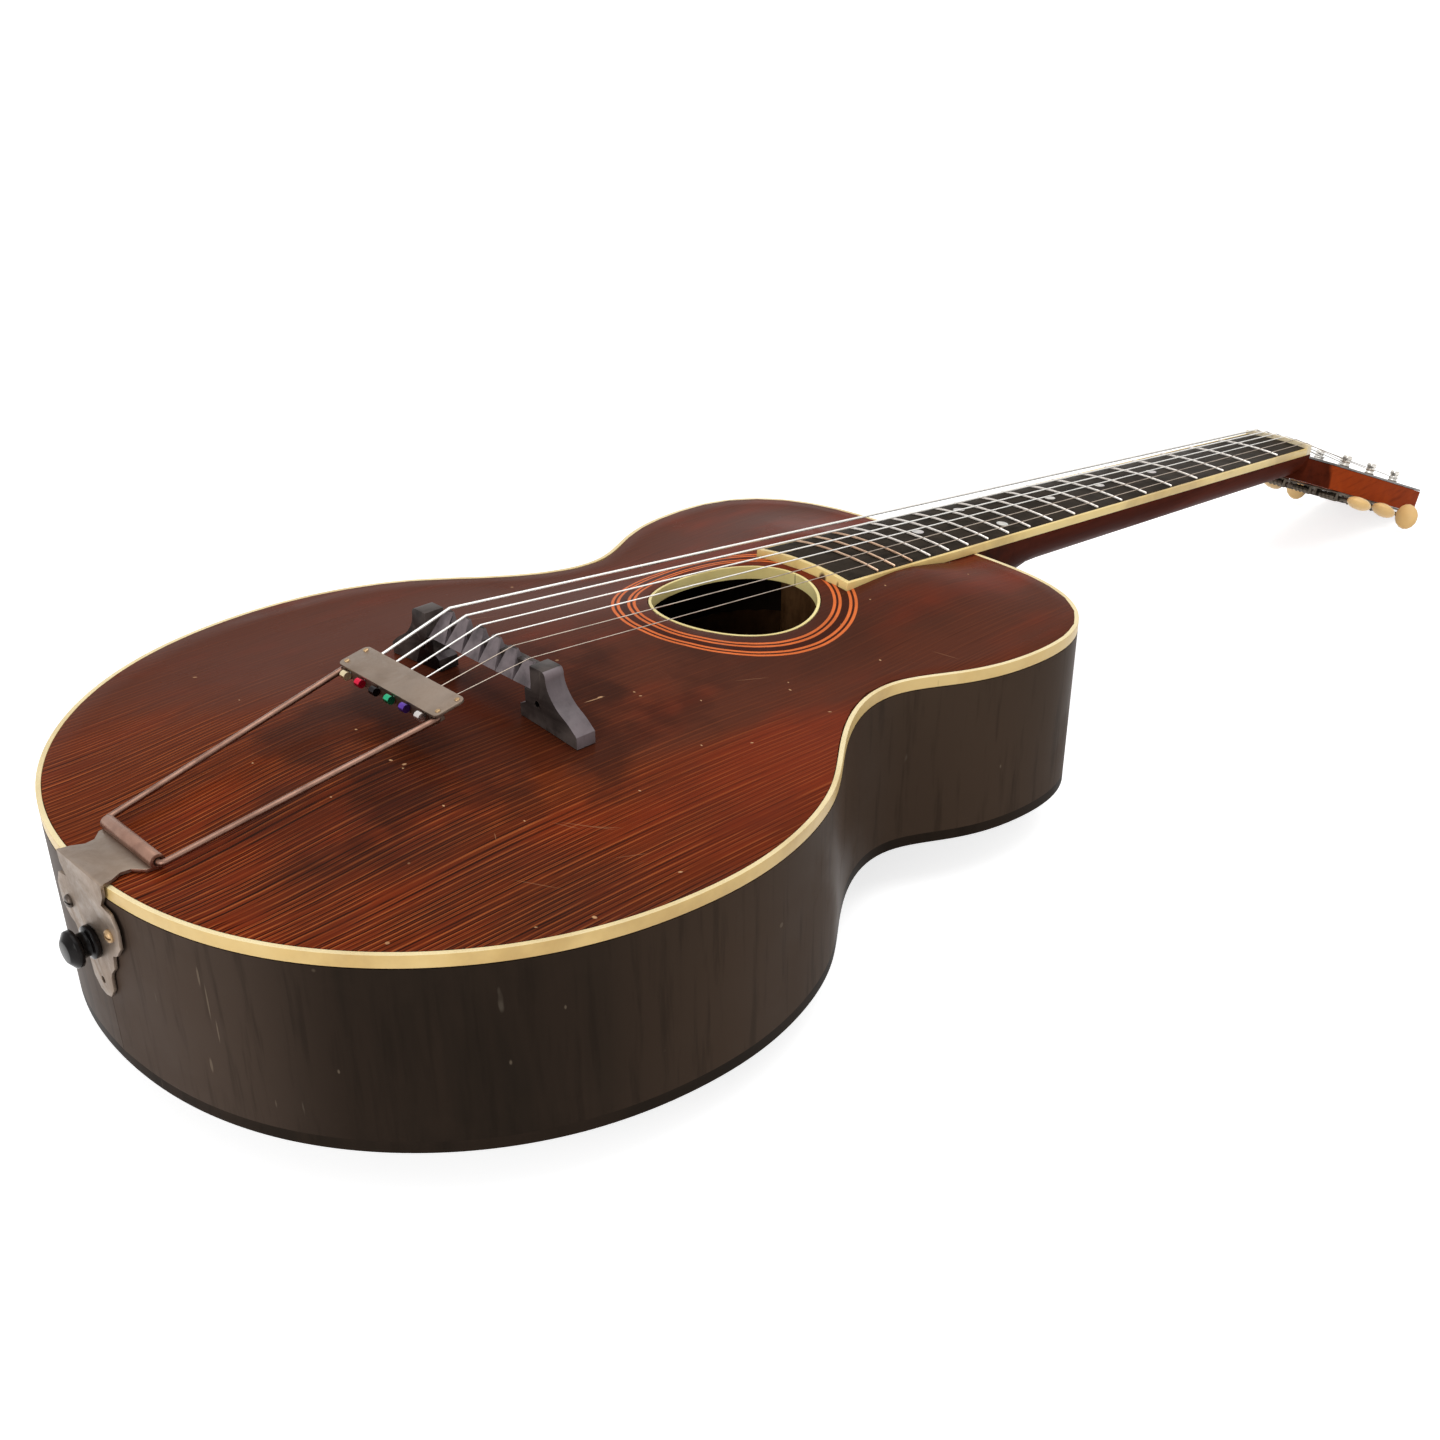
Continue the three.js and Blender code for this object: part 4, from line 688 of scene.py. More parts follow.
def wood_finish(name, dark, light, stretch, shine=0.02, rough=0.4, scuff=0.3, rub=0.5,
                nicks=(), along=()):
    """Wood with streaks drawn out where the stretch is smallest, and further tones along Y, which
    the callers lay as painted light on the sides, painted shade at the heel and partly painted
    light on the head.
    """
    tree, shader = start_finish(name)
    streak = cloud(tree, place(tree, stretch), 1.0, 5.0, 0.6, 0.4)
    cloudy = cloud(tree, place(tree, (7, 7, 7)), 1.0, 4.0, 0.6)
    fibre = cloud(tree, place(tree, tuple(part * 6 for part in stretch)), 1.0, 3.0, 0.6)
    share = times(tree, band(tree, streak, 0.36, 0.66), band(tree, cloudy, 0.3, 0.7, 0.45, 1.0))
    shade = lay(tree, dark, light, share)
    for start, end, further in along:
        reached = band(tree, split(tree, place(tree))["Y"], start, end, 0.0, 0.9)
        shade = lay(tree, shade, further, reached)
    shade = lay(tree, shade, toned(dark, 0.55), band(tree, fibre, 0.50, 0.72, 0.0, 0.35))
    edges = use_group(tree, "rubbed edges", sharpness=rub)["Edges"]
    shade = lay(tree, shade, toned(light, 1.7), edges)
    wear = use_group(tree, "handling wear", size=0.8)
    shade = lay(tree, shade, WOOD_SCRATCH, wear["Scratches"], scuff)
    dented = sums(tree, "MAXIMUM", times(tree, wear["Dings"], scuff),
                  times(tree, marks(tree, nicks), 0.22))
    shade = lay(tree, shade, WOOD_DENT, dented)
    feed(tree, shade, shader, "Base Color")
    level = plus(tree, band(tree, wear["Grime"], 0.0, 1.0, rough, rough + 0.12),
                 times(tree, wear["Scuffs"], 0.08))
    feed(tree, level, shader, "Roughness")
    relief = sums(tree, "SUBTRACT", times(tree, fibre, 0.5), times(tree, dented, 1.5))
    raise_surface(tree, shader, relief, 0.05 * MM)
    set_gloss(shader, shine=shine)


def cream_finish(name, cream, dirt=0.2, nicks=()):
    """Aged cream trim or ivory: clouded yellow, brown grime in places, fine wear."""
    tree, shader = start_finish(name)
    warm = band(tree, cloud(tree, place(tree), 22.0, 4.0, 0.6), 0.34, 0.68, 0.0, 0.7)
    yellowed = (cream[0] * 0.93, cream[1] * 0.86, cream[2] * 0.70)
    shade = lay(tree, cream, yellowed, warm)
    wear = use_group(tree, "handling wear", size=1.6)
    shade = lay(tree, shade, TRIM_GRIME, wear["Grime"], dirt)
    shade = lay(tree, shade, TRIM_SPECK, wear["Dings"], 0.4)
    shade = lay(tree, shade, TRIM_NICK, marks(tree, nicks))
    shade = lay(tree, shade, TRIM_SCRATCH, wear["Scratches"], 0.25)
    feed(tree, shade, shader, "Base Color")
    feed(tree, band(tree, wear["Scuffs"], 0.0, 1.0, 0.34, 0.5), shader, "Roughness")
    raise_surface(tree, shader, cloud(tree, place(tree), 260.0, 4.0), 0.02 * MM)
    set_gloss(shader, shine=0.3)


def pearl_finish():
    """Mother of pearl: white with bands that shift between pink, green and grey."""
    tree, shader = start_finish("pearl")
    bands = cloud(tree, place(tree, (260, 120, 260)), 1.0, 3.0, 0.5, 1.5)
    shade = lay(tree, stain(232, 226, 214), stain(206, 196, 198), band(tree, bands, 0.35, 0.65))
    green = cloud(tree, place(tree, (120, 300, 120), (0.1, 0.2, 0)), 1.0, 3.0, 0.5, 2.0)
    shade = lay(tree, shade, stain(190, 208, 200), band(tree, green, 0.5, 0.7, 0.0, 0.6))
    feed(tree, shade, shader, "Base Color")
    feed(tree, band(tree, bands, 0.3, 0.7, 0.18, 0.32), shader, "Roughness")
    set_gloss(shader, shine=0.5)


def metal_finish(name, metal, tarnish, amount=0.5, rough=0.34, brushed=(60, 60, 60),
                 edge_polish_and_glint=1.3):
    """Plated metal with clouded tarnish, edges lightened as rubbed polish and painted highlight,
    and fine brush lines.
    """
    tree, shader = start_finish(name)
    patches = band(tree, cloud(tree, place(tree), 48.0, 6.0, 0.65, 0.5), 0.38, 0.66)
    shade = lay(tree, metal, tarnish, patches, amount)
    # Edges lightened: rubbed polish, and painted highlight
    edges = use_group(tree, "rubbed edges", sharpness=0.7)["Edges"]
    shade = lay(tree, shade, toned(metal, edge_polish_and_glint), edges)
    wear = use_group(tree, "handling wear", size=2.0)
    shade = lay(tree, shade, toned(tarnish, 0.6), wear["Scuffs"], 0.4)
    feed(tree, shade, shader, "Base Color")
    brush = cloud(tree, place(tree, brushed), 12.0, 3.0, 0.6)
    level = plus(tree, band(tree, patches, 0.0, 1.0, rough, rough + 0.14),
                 band(tree, brush, 0.3, 0.7, -0.04, 0.06))
    feed(tree, level, shader, "Roughness")
    raise_surface(tree, shader, plus(tree, brush, patches), 0.012 * MM)
    set_gloss(shader, metallic=0.95)


def wound_finish():
    """Wire wound round a core: fine turns across the string's length."""
    tree, shader = start_finish("wound string")
    turn = times(tree, split(tree, place(tree))["Y"], 2 * math.pi / WIRE_PITCH)
    wave = band(tree, sums(tree, "SINE", turn), -1.0, 0.2)
    worn = band(tree, cloud(tree, place(tree), 40.0, 3.0), 0.4, 0.7, 0.0, 0.3)
    shade = lay(tree, stain(255, 254, 250), stain(248, 242, 232), worn)
    shade = lay(tree, shade, stain(238, 232, 224), sums(tree, "SUBTRACT", 1.0, wave))
    feed(tree, shade, shader, "Base Color")
    feed(tree, band(tree, wave, 0.0, 1.0, 0.42, 0.34), shader, "Roughness")
    raise_surface(tree, shader, wave, 0.01 * MM)
    set_gloss(shader, metallic=0.6)


def make_woods(colours):
    # Painted light: the sides are laid lighter towards the tail and towards the waist, where they
    # are lit more
    wood_finish("side wood", colours.side_stain, colours.side_glow, (34, 34, 3),
                rub=0.1, scuff=0.15, nicks=SIDE_MARKS, along=SIDE_PAINTED_LIGHT)
    wood_finish("back wood", colours.side_stain, colours.side_glow, (46, 5, 5),
                rub=0.1, scuff=0.15)
    # Painted shade darkens the neck towards the heel
    wood_finish("neck wood", colours.neck_stain, stain(92, 36, 20), (60, 5, 60),
                shine=0.004, rough=0.3, rub=0.2,
                along=(HEEL_PAINTED_SHADE, (*HEAD_START, colours.head_tone_and_light)))
    wood_finish("raw wood", stain(98, 66, 40), stain(132, 94, 60), (90, 8, 30),
                rough=0.7, scuff=0.1)
    wood_finish("board ebony", colours.ebony, stain(54, 47, 40), (150, 6, 60),
                shine=0.01, scuff=0.2)
    wood_finish("head facing", stain(96, 92, 90), stain(128, 124, 122), (150, 6, 60),
                shine=0.3, rough=0.3)
    wood_finish("bridge ebony", stain(40, 34, 32), stain(62, 55, 52), (12, 130, 130),
                shine=0.1, rough=0.34, scuff=0.25, rub=1.0)
    # Paler wood for the bridge's facets and ends: partly end grain, partly painted highlight
    wood_finish("bridge end grain and highlight", stain(84, 76, 78), stain(112, 102, 104), (90, 90, 12),
                shine=0.2, rough=0.3, scuff=0.2, rub=0.6)
    wood_finish("endpin ebony", stain(12, 10, 10), stain(22, 18, 17), (90, 20, 90),
                shine=0.12, rough=0.1, scuff=0.2)


def make_trims(colours):
    cream_finish("cream trim", colours.cream)
    cream_finish("cream trim side in painted shade", stain(236, 204, 138), 0.3)
    cream_finish("soundhole cream", stain(255, 238, 168), 0.12, HOLE_NICKS)
    cream_finish("board cream", stain(255, 226, 152), 0.35, BOARD_NICKS)
    cream_finish("aged bone", stain(250, 236, 206), 0.2)
    cream_finish("aged ivory", colours.ivory, 0.15)


def make_metals(colours):
    metal_finish("worn nickel", colours.nickel, stain(116, 98, 82), 0.5, 0.38)
    metal_finish("coppery nickel", stain(150, 116, 100), stain(100, 66, 54), 0.6, 0.34)
    # Darker nickel for the parts under the head: tarnish, and painted shade
    metal_finish("tarnished nickel in painted shade", stain(96, 88, 78), stain(52, 44, 36), 0.6, 0.42)
    metal_finish("bright nickel", stain(214, 209, 201), stain(160, 148, 134), 0.35, 0.24)
    metal_finish("fret metal", stain(228, 222, 216), stain(196, 178, 160), 0.3, 0.3, FRET_BRUSH)
    metal_finish("coppery fret metal", stain(206, 176, 150), stain(160, 112, 80), 0.5, 0.3,
                 FRET_BRUSH)
    metal_finish("bronzed wire", stain(132, 102, 88), stain(86, 58, 48), 0.6, 0.3)
    metal_finish("string steel", stain(176, 162, 148), stain(120, 104, 92), 0.5, 0.3, STRING_BRUSH)
    metal_finish("dark steel", stain(74, 66, 60), stain(44, 34, 28), 0.6, 0.35, edge_polish_and_glint=2.2)
    metal_finish("old brass", stain(170, 142, 106), stain(112, 84, 58), 0.5, 0.32, edge_polish_and_glint=1.5)
    for number, colour in BALL_COLOURS.items():
        shade = stain(*colour)
        metal_finish(f"ball end {number}", shade, toned(shade, 0.55), 0.4, 0.22, edge_polish_and_glint=1.5)


def make_finishes():
    """Mix every finish once; the operators take them by name."""
    if "stained spruce" in bpy.data.materials:
        return
    colours = bpy.context.scene.guitar_finishes
    make_wear_group()
    make_edge_group()
    spruce_finish()
    pearl_finish()
    wound_finish()
    make_woods(colours)
    make_trims(colours)
    make_metals(colours)


def finish(name):
    """The material of this name, which has to be a mixed finish and not one of the frame's."""
    material = bpy.data.materials[name]
    if not material.node_tree.nodes["Principled BSDF"].inputs["Base Color"].is_linked:
        raise RuntimeError(f"the finish {name} is a flat one")
    return material


def string_finish(number):
    """The four thick strings are wound, the two thin ones plain."""
    return "wound string" if number > 2 else "string steel"


# Small fittings, each modelled once, standing upright at the origin


def model_disc(name, width, low, high, sides=28):
    """A round blank between two heights."""
    clear_selection()
    bpy.ops.mesh.primitive_cylinder_add(vertices=sides, radius=width / 2, depth=high - low,
                                        location=(0, 0, (low + high) / 2))
    disc = bpy.context.object
    disc.name = name
    settle(disc)
    return disc


def round_top(disc, height, offset, segments):
    """Round the upper rim of a blank."""
    choose(disc, "EDGE", lambda mesh, edge: min(end.z for end in ends(mesh, edge)) > height * 0.9)
    bpy.ops.mesh.bevel(offset=offset, segments=segments, profile=0.5, affect="EDGES")
    done()


def model_screw(name, width, height):
    """A domed screw head with a slot."""
    head = model_disc(name, width, 0, height)
    round_top(head, height, height * 0.85, 5)
    clear_selection()
    bpy.ops.mesh.primitive_cube_add(size=1, location=(0, 0, height))
    blade = bpy.context.object
    blade.scale = (width * 1.2, width * 0.16, height * 0.9)
    settle(blade)
    finish_modifier(head, "BOOLEAN", object=blade, operation="DIFFERENCE", solver="EXACT")
    bpy.data.objects.remove(blade)
    smooth(head, 35)
    return head


def model_dome(name, width, height, sides=28):
    """A low round head: a rivet or a pearl dot, sunk a little below its seat."""
    dome = model_disc(name, width, -width * 0.15, height, sides)
    round_top(dome, height, height * 0.95, 3)
    choose(dome, "FACE", lambda mesh, face: face.center.z > height * 0.99)
    bpy.ops.mesh.inset(thickness=width * 0.2)
    bpy.ops.transform.translate(value=(0, 0, height * 0.15))
    done()
    smooth(dome, 40)
    return dome


def model_winding(name, corners, thickness, radius, axis, pitch, turns):
    """A round or three-sided wire wound about an axis through the origin."""
    clear_selection()
    spot = (0, 0, radius) if axis == "X" else (radius, 0, 0)
    bpy.ops.mesh.primitive_circle_add(vertices=corners, radius=thickness, fill_type="NOTHING",
                                      location=spot, rotation=(math.pi / 2, 0, 0))
    coil = bpy.context.object
    coil.name = name
    settle(coil)
    finish_modifier(coil, "SCREW", axis=axis, angle=2 * math.pi, screw_offset=pitch,
                    iterations=turns, steps=24, render_steps=24)
    merge_doubles(coil, 0.002 * MM)
    bpy.ops.mesh.fill_holes(sides=0)
    bpy.ops.mesh.normals_make_consistent(inside=False)
    done()
    smooth(coil, 50)
    return coil


# Pieces, one operator for each group


class GUITAR_OT_body(bpy.types.Operator):
    """Finish the arched top, the back, the sides, the bindings and the pieces inside"""

    bl_idname = "guitar.body"
    bl_label = "Body"

    seam_gap = 0.28 * MM
    side_tilt = 0.45

    def execute(self, context):
        make_finishes()
        edge = context.scene.guitar_sizes.edge_softness
        dress("top_plate", "stained spruce", edge)
        dress_round("back_plate", "back wood")
        for side in ("bass", "treble"):
            self.close_seam(dress_round(f"rim_{side}", "side wood"))
        binding = dress_round("top_binding", "cream trim", edge)
        # Painted shade: the binding's side, which faces away from the lamp over it, is coated
        # darker and yellower than its top
        recoat(binding, "cream trim side in painted shade", lambda face: face.normal.z < self.side_tilt)
        dress_round("soundhole_binding", "soundhole cream", edge, 1)
        for node in ("lining_top", "lining_back", "neck_block", "tail_block", "top_brace"):
            dress(node, "raw wood", edge)
        return {"FINISHED"}

    def close_seam(self, rim):
        """Bring the side's lower edge down onto the back, where the glued seam is."""
        lowest = min(corner.co.z for corner in rim.data.vertices) + 0.02 * MM
        choose(rim, "VERT", lambda mesh, corner: corner.co.z < lowest)
        bpy.ops.transform.translate(value=(0, 0, -self.seam_gap))
        done()


class GUITAR_OT_neck(bpy.types.Operator):
    """Finish the neck with its heel and head"""

    bl_idname = "guitar.neck"
    bl_label = "Neck"

    def execute(self, context):
        make_finishes()
        dress("neck", "neck wood", turn=35)
        dress("head_veneer", "head facing", edge=0.2 * MM)
        return {"FINISHED"}


class GUITAR_OT_fretboard(bpy.types.Operator):
    """Finish the fretboard, its binding, the frets and the nut, and set the pearl dots"""

    bl_idname = "guitar.fretboard"
    bl_label = "Fretboard"

    scale_length = 616 * MM
    slope = math.radians(5.1)
    first_coppery = 17
    crown_share = 0.7
    dotted_frets = (5, 7, 9, 12, 15)
    dot_height = 0.08 * MM

    def execute(self, context):
        make_finishes()
        dress("fretboard", "board ebony", edge=0.1 * MM)
        dress("fretboard_binding", "board cream", edge=0.2 * MM)
        dress("nut", "aged bone", edge=0.25 * MM)
        for number in FRETS:
            metal = "coppery fret metal" if number >= self.first_coppery else "fret metal"
            self.slim(dress(f"fret_{number:02d}", metal, edge=0.12 * MM, turn=40))
        self.set_dots(context.scene.guitar_sizes)
        return {"FINISHED"}

    def slim(self, fret):
        """Bring the fret's crown to the width that shows."""
        corners = fret.data.vertices
        middle = sum((corner.co for corner in corners), Vector()) / len(corners)
        choose(fret, "VERT", lambda mesh, corner: True)
        bpy.ops.transform.resize(value=(1, self.crown_share, 1), center_override=middle)
        done()

    def stop(self, fret):
        """How far a fret lies from the nut, along the string."""
        return self.scale_length * (1 - 2 ** (-fret / 12))

    def set_dots(self, sizes):
        """A pearl dot midway between two frets, and two of them at the octave."""
        nut_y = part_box("nut")[0][1]
        places = {}
        for number in self.dotted_frets:
            middle = (self.stop(number - 1) + self.stop(number)) / 2
            y = nut_y - middle * math.cos(self.slope)
            apart = sizes.dot_spread / 2
            for x in ((-apart, apart) if number == 12 else (0.0,)):
                side = "_bass" if x < 0 else "_treble" if x > 0 else ""
                places[f"dot_{number:02d}{side}"] = rest_on("fretboard", (x, y, 1), (0, 0, -1))
        model = model_dome("dot", sizes.dot_width, self.dot_height, 36)
        for dot in spread(model, places):
            carry(dot, "pearl", "body")


class GUITAR_OT_machines(bpy.types.Operator):
    """Finish the tuning machines and add their worm threads, string turns and screws"""

    bl_idname = "guitar.machines"
    bl_label = "Tuning machines"

    button_length = 15.3 * MM
    worm_middle = 19 * MM
    thread_middle = 2.15 * MM
    thread_size = 0.5 * MM
    thread_turns = 3
    post_radius = 2.48 * MM
    wrap_height = 5.2 * MM
    wrap_pitch = 2.05
    plate_depth = 15.9 * MM
    screw_height = 0.9 * MM
    # In millimetres, by the string's number: its radius, and the way from its post to the screw
    wire_radii = {6: 0.67, 5: 0.53, 4: 0.41, 3: 0.32, 2: 0.24, 1: 0.2}
    screw_steps = {6: 18.0, 5: 18.0, 4: 9.8, 1: 18.0, 2: 18.0, 3: 9.8}

    def execute(self, context):
        make_finishes()
        sizes = context.scene.guitar_sizes
        for side in ("bass", "treble"):
            # The machine plates sit under the head: their darker nickel is partly painted shade
            dress(f"tuner_plate_{side}", "tarnished nickel in painted shade", edge=0.2 * MM)
        for number in STRINGS:
            self.finish_post(number)
            self.finish_knob(number)
        self.cut_threads(sizes)
        self.wind_strings(sizes)
        self.drive_screws(sizes)
        return {"FINISHED"}

    def finish_post(self, number):
        """The post bright above the head; its gear and shaft below the head tarnished and darker,
        as painted shade.
        """
        post = dress(f"tuner_post_{number}", "bright nickel", edge=0.15 * MM)
        joint = JOINTS[f"post_turn_{number}"]
        head, up = Vector(joint["pos_m"]), Vector(joint["axis"])
        recoat(post, "tarnished nickel in painted shade", lambda face: (face.center - head).dot(up) < 0)

    def finish_knob(self, number):
        """The button in ivory, the shaft and its worm in nickel darkened as painted shade."""
        knob = dress(f"tuner_knob_{number}", "aged ivory", edge=0.15 * MM)
        low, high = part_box(f"tuner_knob_{number}")
        shaft_end = max(abs(low[0]), abs(high[0])) - self.button_length
        recoat(knob, "tarnished nickel in painted shade", lambda face: abs(face.center.x) < shaft_end)

    def cut_threads(self, sizes):
        """A thread wound round each worm."""
        pitch = sizes.thread_pitch
        for number in STRINGS:
            joint = Vector(JOINTS[f"knob_turn_{number}"]["pos_m"])
            thread = model_winding(f"worm_thread_{number}", 3, self.thread_size,
                                   self.thread_middle, "X", pitch, self.thread_turns)
            worm = math.copysign(self.worm_middle, joint.x)
            thread.location = (worm - pitch * self.thread_turns / 2, joint.y, joint.z)
            settle(thread)
            carry(thread, "tarnished nickel in painted shade", f"knob_{number}")

    def wind_strings(self, sizes):
        """The last turns of each string round its post."""
        for number in STRINGS:
            joint = JOINTS[f"post_turn_{number}"]
            axis = Vector(joint["axis"])
            radius = self.wire_radii[number] * MM
            pitch = self.wrap_pitch * radius
            coil = model_winding("coil", 8, radius, self.post_radius + radius, "Z", pitch,
                                 sizes.string_turns)
            base = Vector(joint["pos_m"]) + axis * (self.wrap_height - sizes.string_turns * pitch)
            for wound in spread(coil, {f"string_turns_{number}": (base, axis)}):
                carry(wound, string_finish(number), f"post_{number}")

    def drive_screws(self, sizes):
        """Three small screws hold each machine plate under the head."""
        places = {}
        for number, step in self.screw_steps.items():
            joint = JOINTS[f"post_turn_{number}"]
            up = Vector(joint["axis"])
            along = Vector((0, up.z, -up.y))
            spot = Vector(joint["pos_m"]) + along * step * MM
            places[f"machine_screw_{number}"] = (spot - up * self.plate_depth, -up)
        model = model_screw("machine_screw", sizes.plate_screw, self.screw_height)
        for screw in spread(model, places):
            carry(screw, "tarnished nickel in painted shade", "body")


class GUITAR_OT_bridge(bpy.types.Operator):
    """Finish the carved bridge"""

    bl_idname = "guitar.bridge"
    bl_label = "Bridge"

    wall_end = 35.2 * MM
    ogee_low = 121.5 * MM
    ogee_edge = 4 * MM
    ridge_round = 2.2 * MM
    hole_x = 38.6 * MM
    hole_z = 126.9 * MM
    hole_reach = 1.9 * MM

    def execute(self, context):
        make_finishes()
        piece = merged_copy("bridge")
        self.round_ogee(piece)
        soften(piece, 0.35 * MM, 30)
        stand_in(piece, "bridge", "bridge ebony")
        self.paint_light_on_cuts(piece)
        return {"FINISHED"}

    def round_ogee(self, piece):
        """Round the ridges between the flats of the two swept ends."""
        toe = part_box("bridge")[1][0] - 1 * MM

        def ridge(mesh, edge):
            first, second = ends(mesh, edge)
            level = abs((second - first).normalized().y) > 0.95
            swept = self.wall_end + 1 * MM < abs(first.x) < toe and first.z > self.ogee_low
            return level and swept and (second - first).length > self.ogee_edge

        choose(piece, "EDGE", ridge)
        bpy.ops.mesh.bevel(offset=self.ridge_round, segments=4, affect="EDGES")
        done()

    def paint_light_on_cuts(self, piece):
        """Painted highlight: the carved facets and the swept ends are coated in paler wood, partly
        the ends' own end grain. Painted shade: the feet's holes are dark.
        """

        def lit_facet(face):
            if abs(face.center.x) > self.wall_end:
                return abs(face.normal.x) > 0.4
            return 0.25 < face.normal.z < 0.95

        def in_hole(face):
            across, height = abs(face.center.x), face.center.z
            return math.hypot(across - self.hole_x, height - self.hole_z) < self.hole_reach

        recoat(piece, "bridge end grain and highlight", lit_facet)
        # Painted shade: the walls of the feet's holes coated near black
        recoat(piece, "endpin ebony", in_hole)


class GUITAR_OT_tailpiece(bpy.types.Operator):
    """Finish the bracket, the trapeze, the string holder and the endpin; add screws and rivets"""

    bl_idname = "guitar.tailpiece"
    bl_label = "Tailpiece"

    barrel_depth = 9.5 * MM
    corner_round = 2.4 * MM
    screw_x = 15.7 * MM
    screw_drop = 26.1 * MM
    screw_height = 1.5 * MM
    rivet_x = 31.2 * MM
    rivet_rear = 3.0 * MM
    rivet_front = 2.6 * MM
    rivet_height = 0.5 * MM

    def execute(self, context):
        make_finishes()
        sizes = context.scene.guitar_sizes
        self.finish_bracket()
        dress("tailpiece_wire", "bronzed wire", turn=40)
        dress("endpin", "endpin ebony", edge=0.3 * MM)
        self.finish_holder()
        self.add_screws(sizes)
        self.add_rivets(sizes)
        return {"FINISHED"}

    def finish_bracket(self):
        """The bracket, its rolled barrel worn down to the copper."""
        bracket = dress("tailpiece_bracket", "worn nickel", edge=0.2 * MM)
        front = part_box("tailpiece_bracket")[1][1] - self.barrel_depth
        recoat(bracket, "coppery nickel", lambda face: face.center.y > front)

    def finish_holder(self):
        """The string holder, its plate's four corners rounded."""
        piece = merged_copy("string_holder")
        low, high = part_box("string_holder")
        side = high[0] - 0.1 * MM
        up = rest_on("string_holder", (0, (low[1] + high[1]) / 2, 1), (0, 0, -1))[1]

        def corner_edge(mesh, edge):
            first, second = ends(mesh, edge)
            at_side = abs(first.x) > side and abs(second.x) > side
            return at_side and abs((second - first).normalized().dot(up)) > 0.9

        choose(piece, "EDGE", corner_edge)
        bpy.ops.mesh.bevel(offset=self.corner_round, segments=5, affect="EDGES")
        done()
        soften(piece, 0.2 * MM, 40)
        stand_in(piece, "string_holder", "worn nickel")

    def add_screws(self, sizes):
        """Two slotted screws hold the bracket; the left one is blackened, the right one brass."""
        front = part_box("tailpiece_bracket")[0][1]
        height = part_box("tailpiece_bracket")[1][2] - self.screw_drop
        places = {f"bracket_screw_{side}": ((x, front, height), (0, -1, 0))
                  for side, x in (("bass", -self.screw_x), ("treble", self.screw_x))}
        model = model_screw("bracket_screw", sizes.bracket_screw, self.screw_height)
        for screw, metal in zip(spread(model, places), ("dark steel", "old brass")):
            carry(screw, metal, "body")

    def add_rivets(self, sizes):
        """A rivet near each corner of the string holder."""
        low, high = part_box("string_holder")
        rear, front = low[1] + self.rivet_rear, high[1] - self.rivet_front
        places = {}
        for side, x in (("bass", -self.rivet_x), ("treble", self.rivet_x)):
            for end, y in (("rear", rear), ("front", front)):
                seat = rest_on("string_holder", (x, y, 1), (0, 0, -1))
                places[f"holder_rivet_{side}_{end}"] = seat
        model = model_dome("holder_rivet", sizes.rivet_width, self.rivet_height)
        for rivet in spread(model, places):
            carry(rivet, "old brass", "trapeze")


class GUITAR_OT_strings(bpy.types.Operator):
    """Finish the six strings and their coloured ball ends"""

    bl_idname = "guitar.strings"
    bl_label = "Strings"

    ball_sunk = 0.3 * MM
    past_holder = 0.4 * MM
    before_saddle = 4 * MM

    def execute(self, context):
        make_finishes()
        ball_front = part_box("string_holder")[0][1] + self.ball_sunk
        for number in STRINGS:
            node = f"string_{number}"
            string = merged_copy(node)
            stand_in(string, node, string_finish(number), 50, rides=False)
            recoat(string, f"ball end {number}", lambda face: face.center.y < ball_front)
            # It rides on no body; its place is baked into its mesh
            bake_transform(string)
        return {"FINISHED"}


# The stage


def seen_white(tree):
    """One where the camera, a mirror or clear glass looks, else nothing."""
    path = put(tree, "ShaderNodeLightPath").outputs
    seen = sums(tree, "MAXIMUM", path["Is Camera Ray"], path["Is Glossy Ray"])
    return sums(tree, "MAXIMUM", seen, path["Is Transmission Ray"])


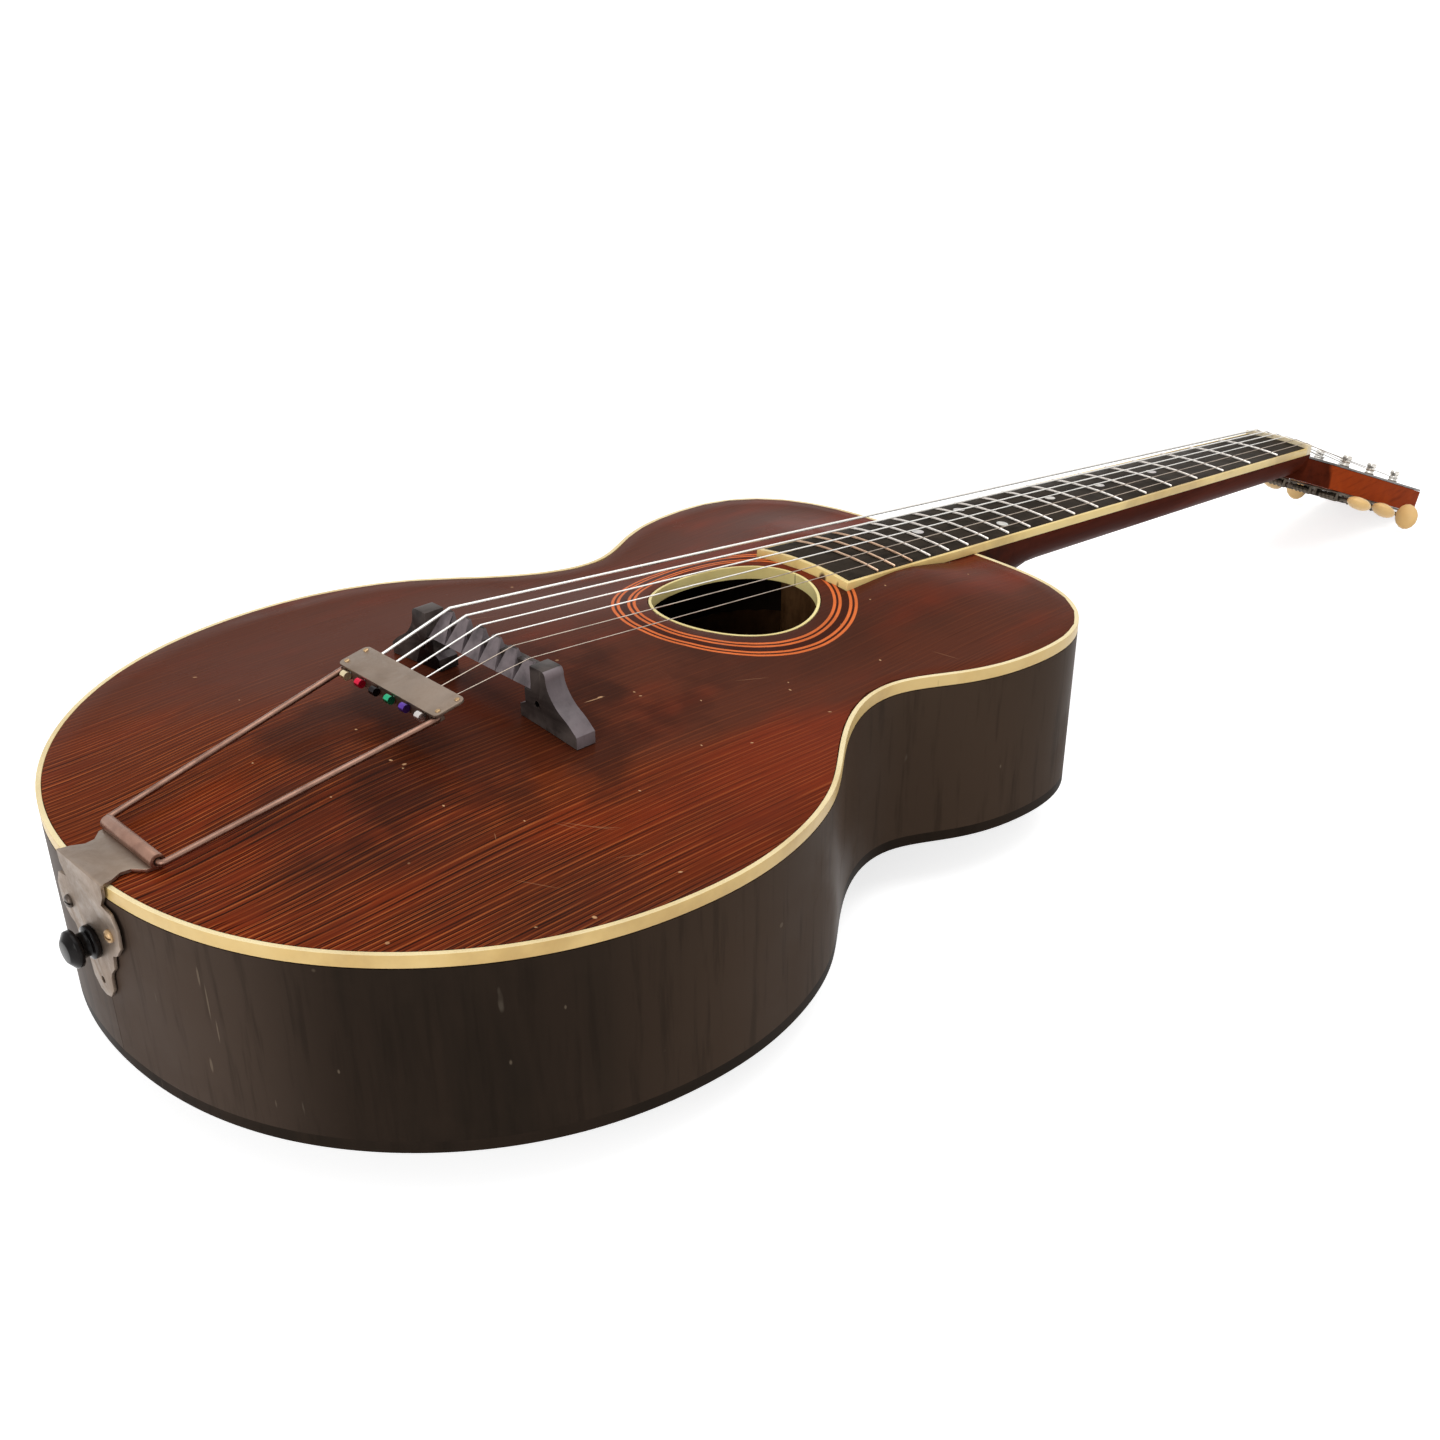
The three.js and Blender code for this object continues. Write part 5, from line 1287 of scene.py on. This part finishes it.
class GUITAR_OT_stage(bpy.types.Operator):
    """Set the pale floor, the soft lamps, the room and the camera"""

    bl_idname = "guitar.stage"
    bl_label = "Stage"

    floor_size = 12
    floor_level = -0.5 * MM
    floor_glow = 0.75
    lens_length = 42.875
    lens_shift = (0.001, 0.0664)
    camera_spot = (0.52745, -0.39230, 0.42936)
    camera_right = (0.6873, 0.7263, -0.0075)
    camera_back = (0.6292, -0.5902, 0.5057)

    def execute(self, context):
        scene = context.scene
        settings = scene.guitar_stage
        self.add_floor()
        self.set_room(scene, settings.room_strength)
        self.add_lamp(scene, "over lamp", spot=(0.1, 0.35, 1.7), target=(0.0, 0.05, 0.0),
                      size=(1.9, 1.5), power=settings.key_strength)
        self.add_lamp(scene, "tail lamp", spot=(0.7, -1.7, 0.75), target=(0.0, -0.1, 0.08),
                      size=(1.1, 0.9), power=settings.side_strength)
        self.add_camera(scene)
        scene.view_settings.view_transform = "Standard"
        return {"FINISHED"}

    def add_floor(self):
        clear_selection()
        bpy.ops.mesh.primitive_plane_add(size=self.floor_size, location=(0, 0, self.floor_level))
        floor = bpy.context.object
        floor.name = "pale_floor"
        settle(floor)
        tree, shader = start_finish("pale floor")
        shader.inputs["Base Color"].default_value = (0.8, 0.8, 0.8, 1)
        shader.inputs["Roughness"].default_value = 0.9
        shader.inputs["Emission Color"].default_value = (1, 1, 1, 1)
        feed(tree, times(tree, seen_white(tree), self.floor_glow), shader, "Emission Strength")
        floor.data.materials.append(bpy.data.materials["pale floor"])

    def set_room(self, scene, strength):
        """Even light on the guitar, and plain white where the camera looks past it."""
        world = bpy.data.worlds.new("studio room")
        scene.world = world
        world.use_nodes = True
        tree = world.node_tree
        background = tree.nodes["Background"]
        background.inputs["Color"].default_value = (1, 1, 1, 1)
        lift = put(tree, "ShaderNodeMapRange", {
            "Value": seen_white(tree), "To Min": strength, "To Max": 1.0}).outputs["Result"]
        tree.links.new(lift, background.inputs["Strength"])

    def add_lamp(self, scene, name, spot, target, size, power):
        lamp = bpy.data.lights.new(name, "AREA")
        lamp.shape = "RECTANGLE"
        lamp.size, lamp.size_y = size
        lamp.energy = power
        holder = bpy.data.objects.new(name, lamp)
        scene.collection.objects.link(holder)
        holder.location = spot
        aim = Vector(target) - Vector(spot)
        holder.rotation_euler = aim.to_track_quat("-Z", "Y").to_euler()

    def add_camera(self, scene):
        lens = bpy.data.cameras.new("camera")
        camera = bpy.data.objects.new("camera", lens)
        scene.collection.objects.link(camera)
        lens.lens = self.lens_length
        lens.sensor_width = 36
        lens.shift_x, lens.shift_y = self.lens_shift
        lens.clip_start = 0.01
        back = Vector(self.camera_back).normalized()
        up = back.cross(Vector(self.camera_right)).normalized()
        turned = Matrix((up.cross(back), up, back)).transposed().to_4x4()
        camera.matrix_world = Matrix.Translation(self.camera_spot) @ turned
        scene.camera = camera


class GUITAR_PT_panel(bpy.types.Panel):
    """Lists the guitar's pieces and settings"""

    bl_idname = "GUITAR_PT_panel"
    bl_label = "Archtop Guitar"
    bl_space_type = "VIEW_3D"
    bl_region_type = "UI"
    bl_category = "Archtop"

    def draw(self, context):
        scene = context.scene
        for step in STEPS:
            self.layout.operator(step.bl_idname)
        for settings in (scene.guitar_finishes, scene.guitar_sizes, scene.guitar_stage):
            box = self.layout.box()
            for setting in settings.__annotations__:
                box.prop(settings, setting)


STEPS = (
    GUITAR_OT_body,
    GUITAR_OT_neck,
    GUITAR_OT_fretboard,
    GUITAR_OT_machines,
    GUITAR_OT_bridge,
    GUITAR_OT_tailpiece,
    GUITAR_OT_strings,
    GUITAR_OT_stage,
)
GROUPS = (GuitarFinishes, GuitarSizes, StageSettings)


def register():
    for group in GROUPS:
        bpy.utils.register_class(group)
    bpy.types.Scene.guitar_finishes = PointerProperty(type=GuitarFinishes)
    bpy.types.Scene.guitar_sizes = PointerProperty(type=GuitarSizes)
    bpy.types.Scene.guitar_stage = PointerProperty(type=StageSettings)
    for step in STEPS:
        bpy.utils.register_class(step)
    bpy.utils.register_class(GUITAR_PT_panel)


def unregister():
    bpy.utils.unregister_class(GUITAR_PT_panel)
    for step in reversed(STEPS):
        bpy.utils.unregister_class(step)
    del bpy.types.Scene.guitar_stage
    del bpy.types.Scene.guitar_sizes
    del bpy.types.Scene.guitar_finishes
    for group in reversed(GROUPS):
        bpy.utils.unregister_class(group)


def main():
    register()
    bpy.ops.guitar.stage()
    bpy.ops.guitar.body()
    bpy.ops.guitar.neck()
    bpy.ops.guitar.fretboard()
    bpy.ops.guitar.machines()
    bpy.ops.guitar.bridge()
    bpy.ops.guitar.tailpiece()
    bpy.ops.guitar.strings()


if __name__ == "__main__":
    main()
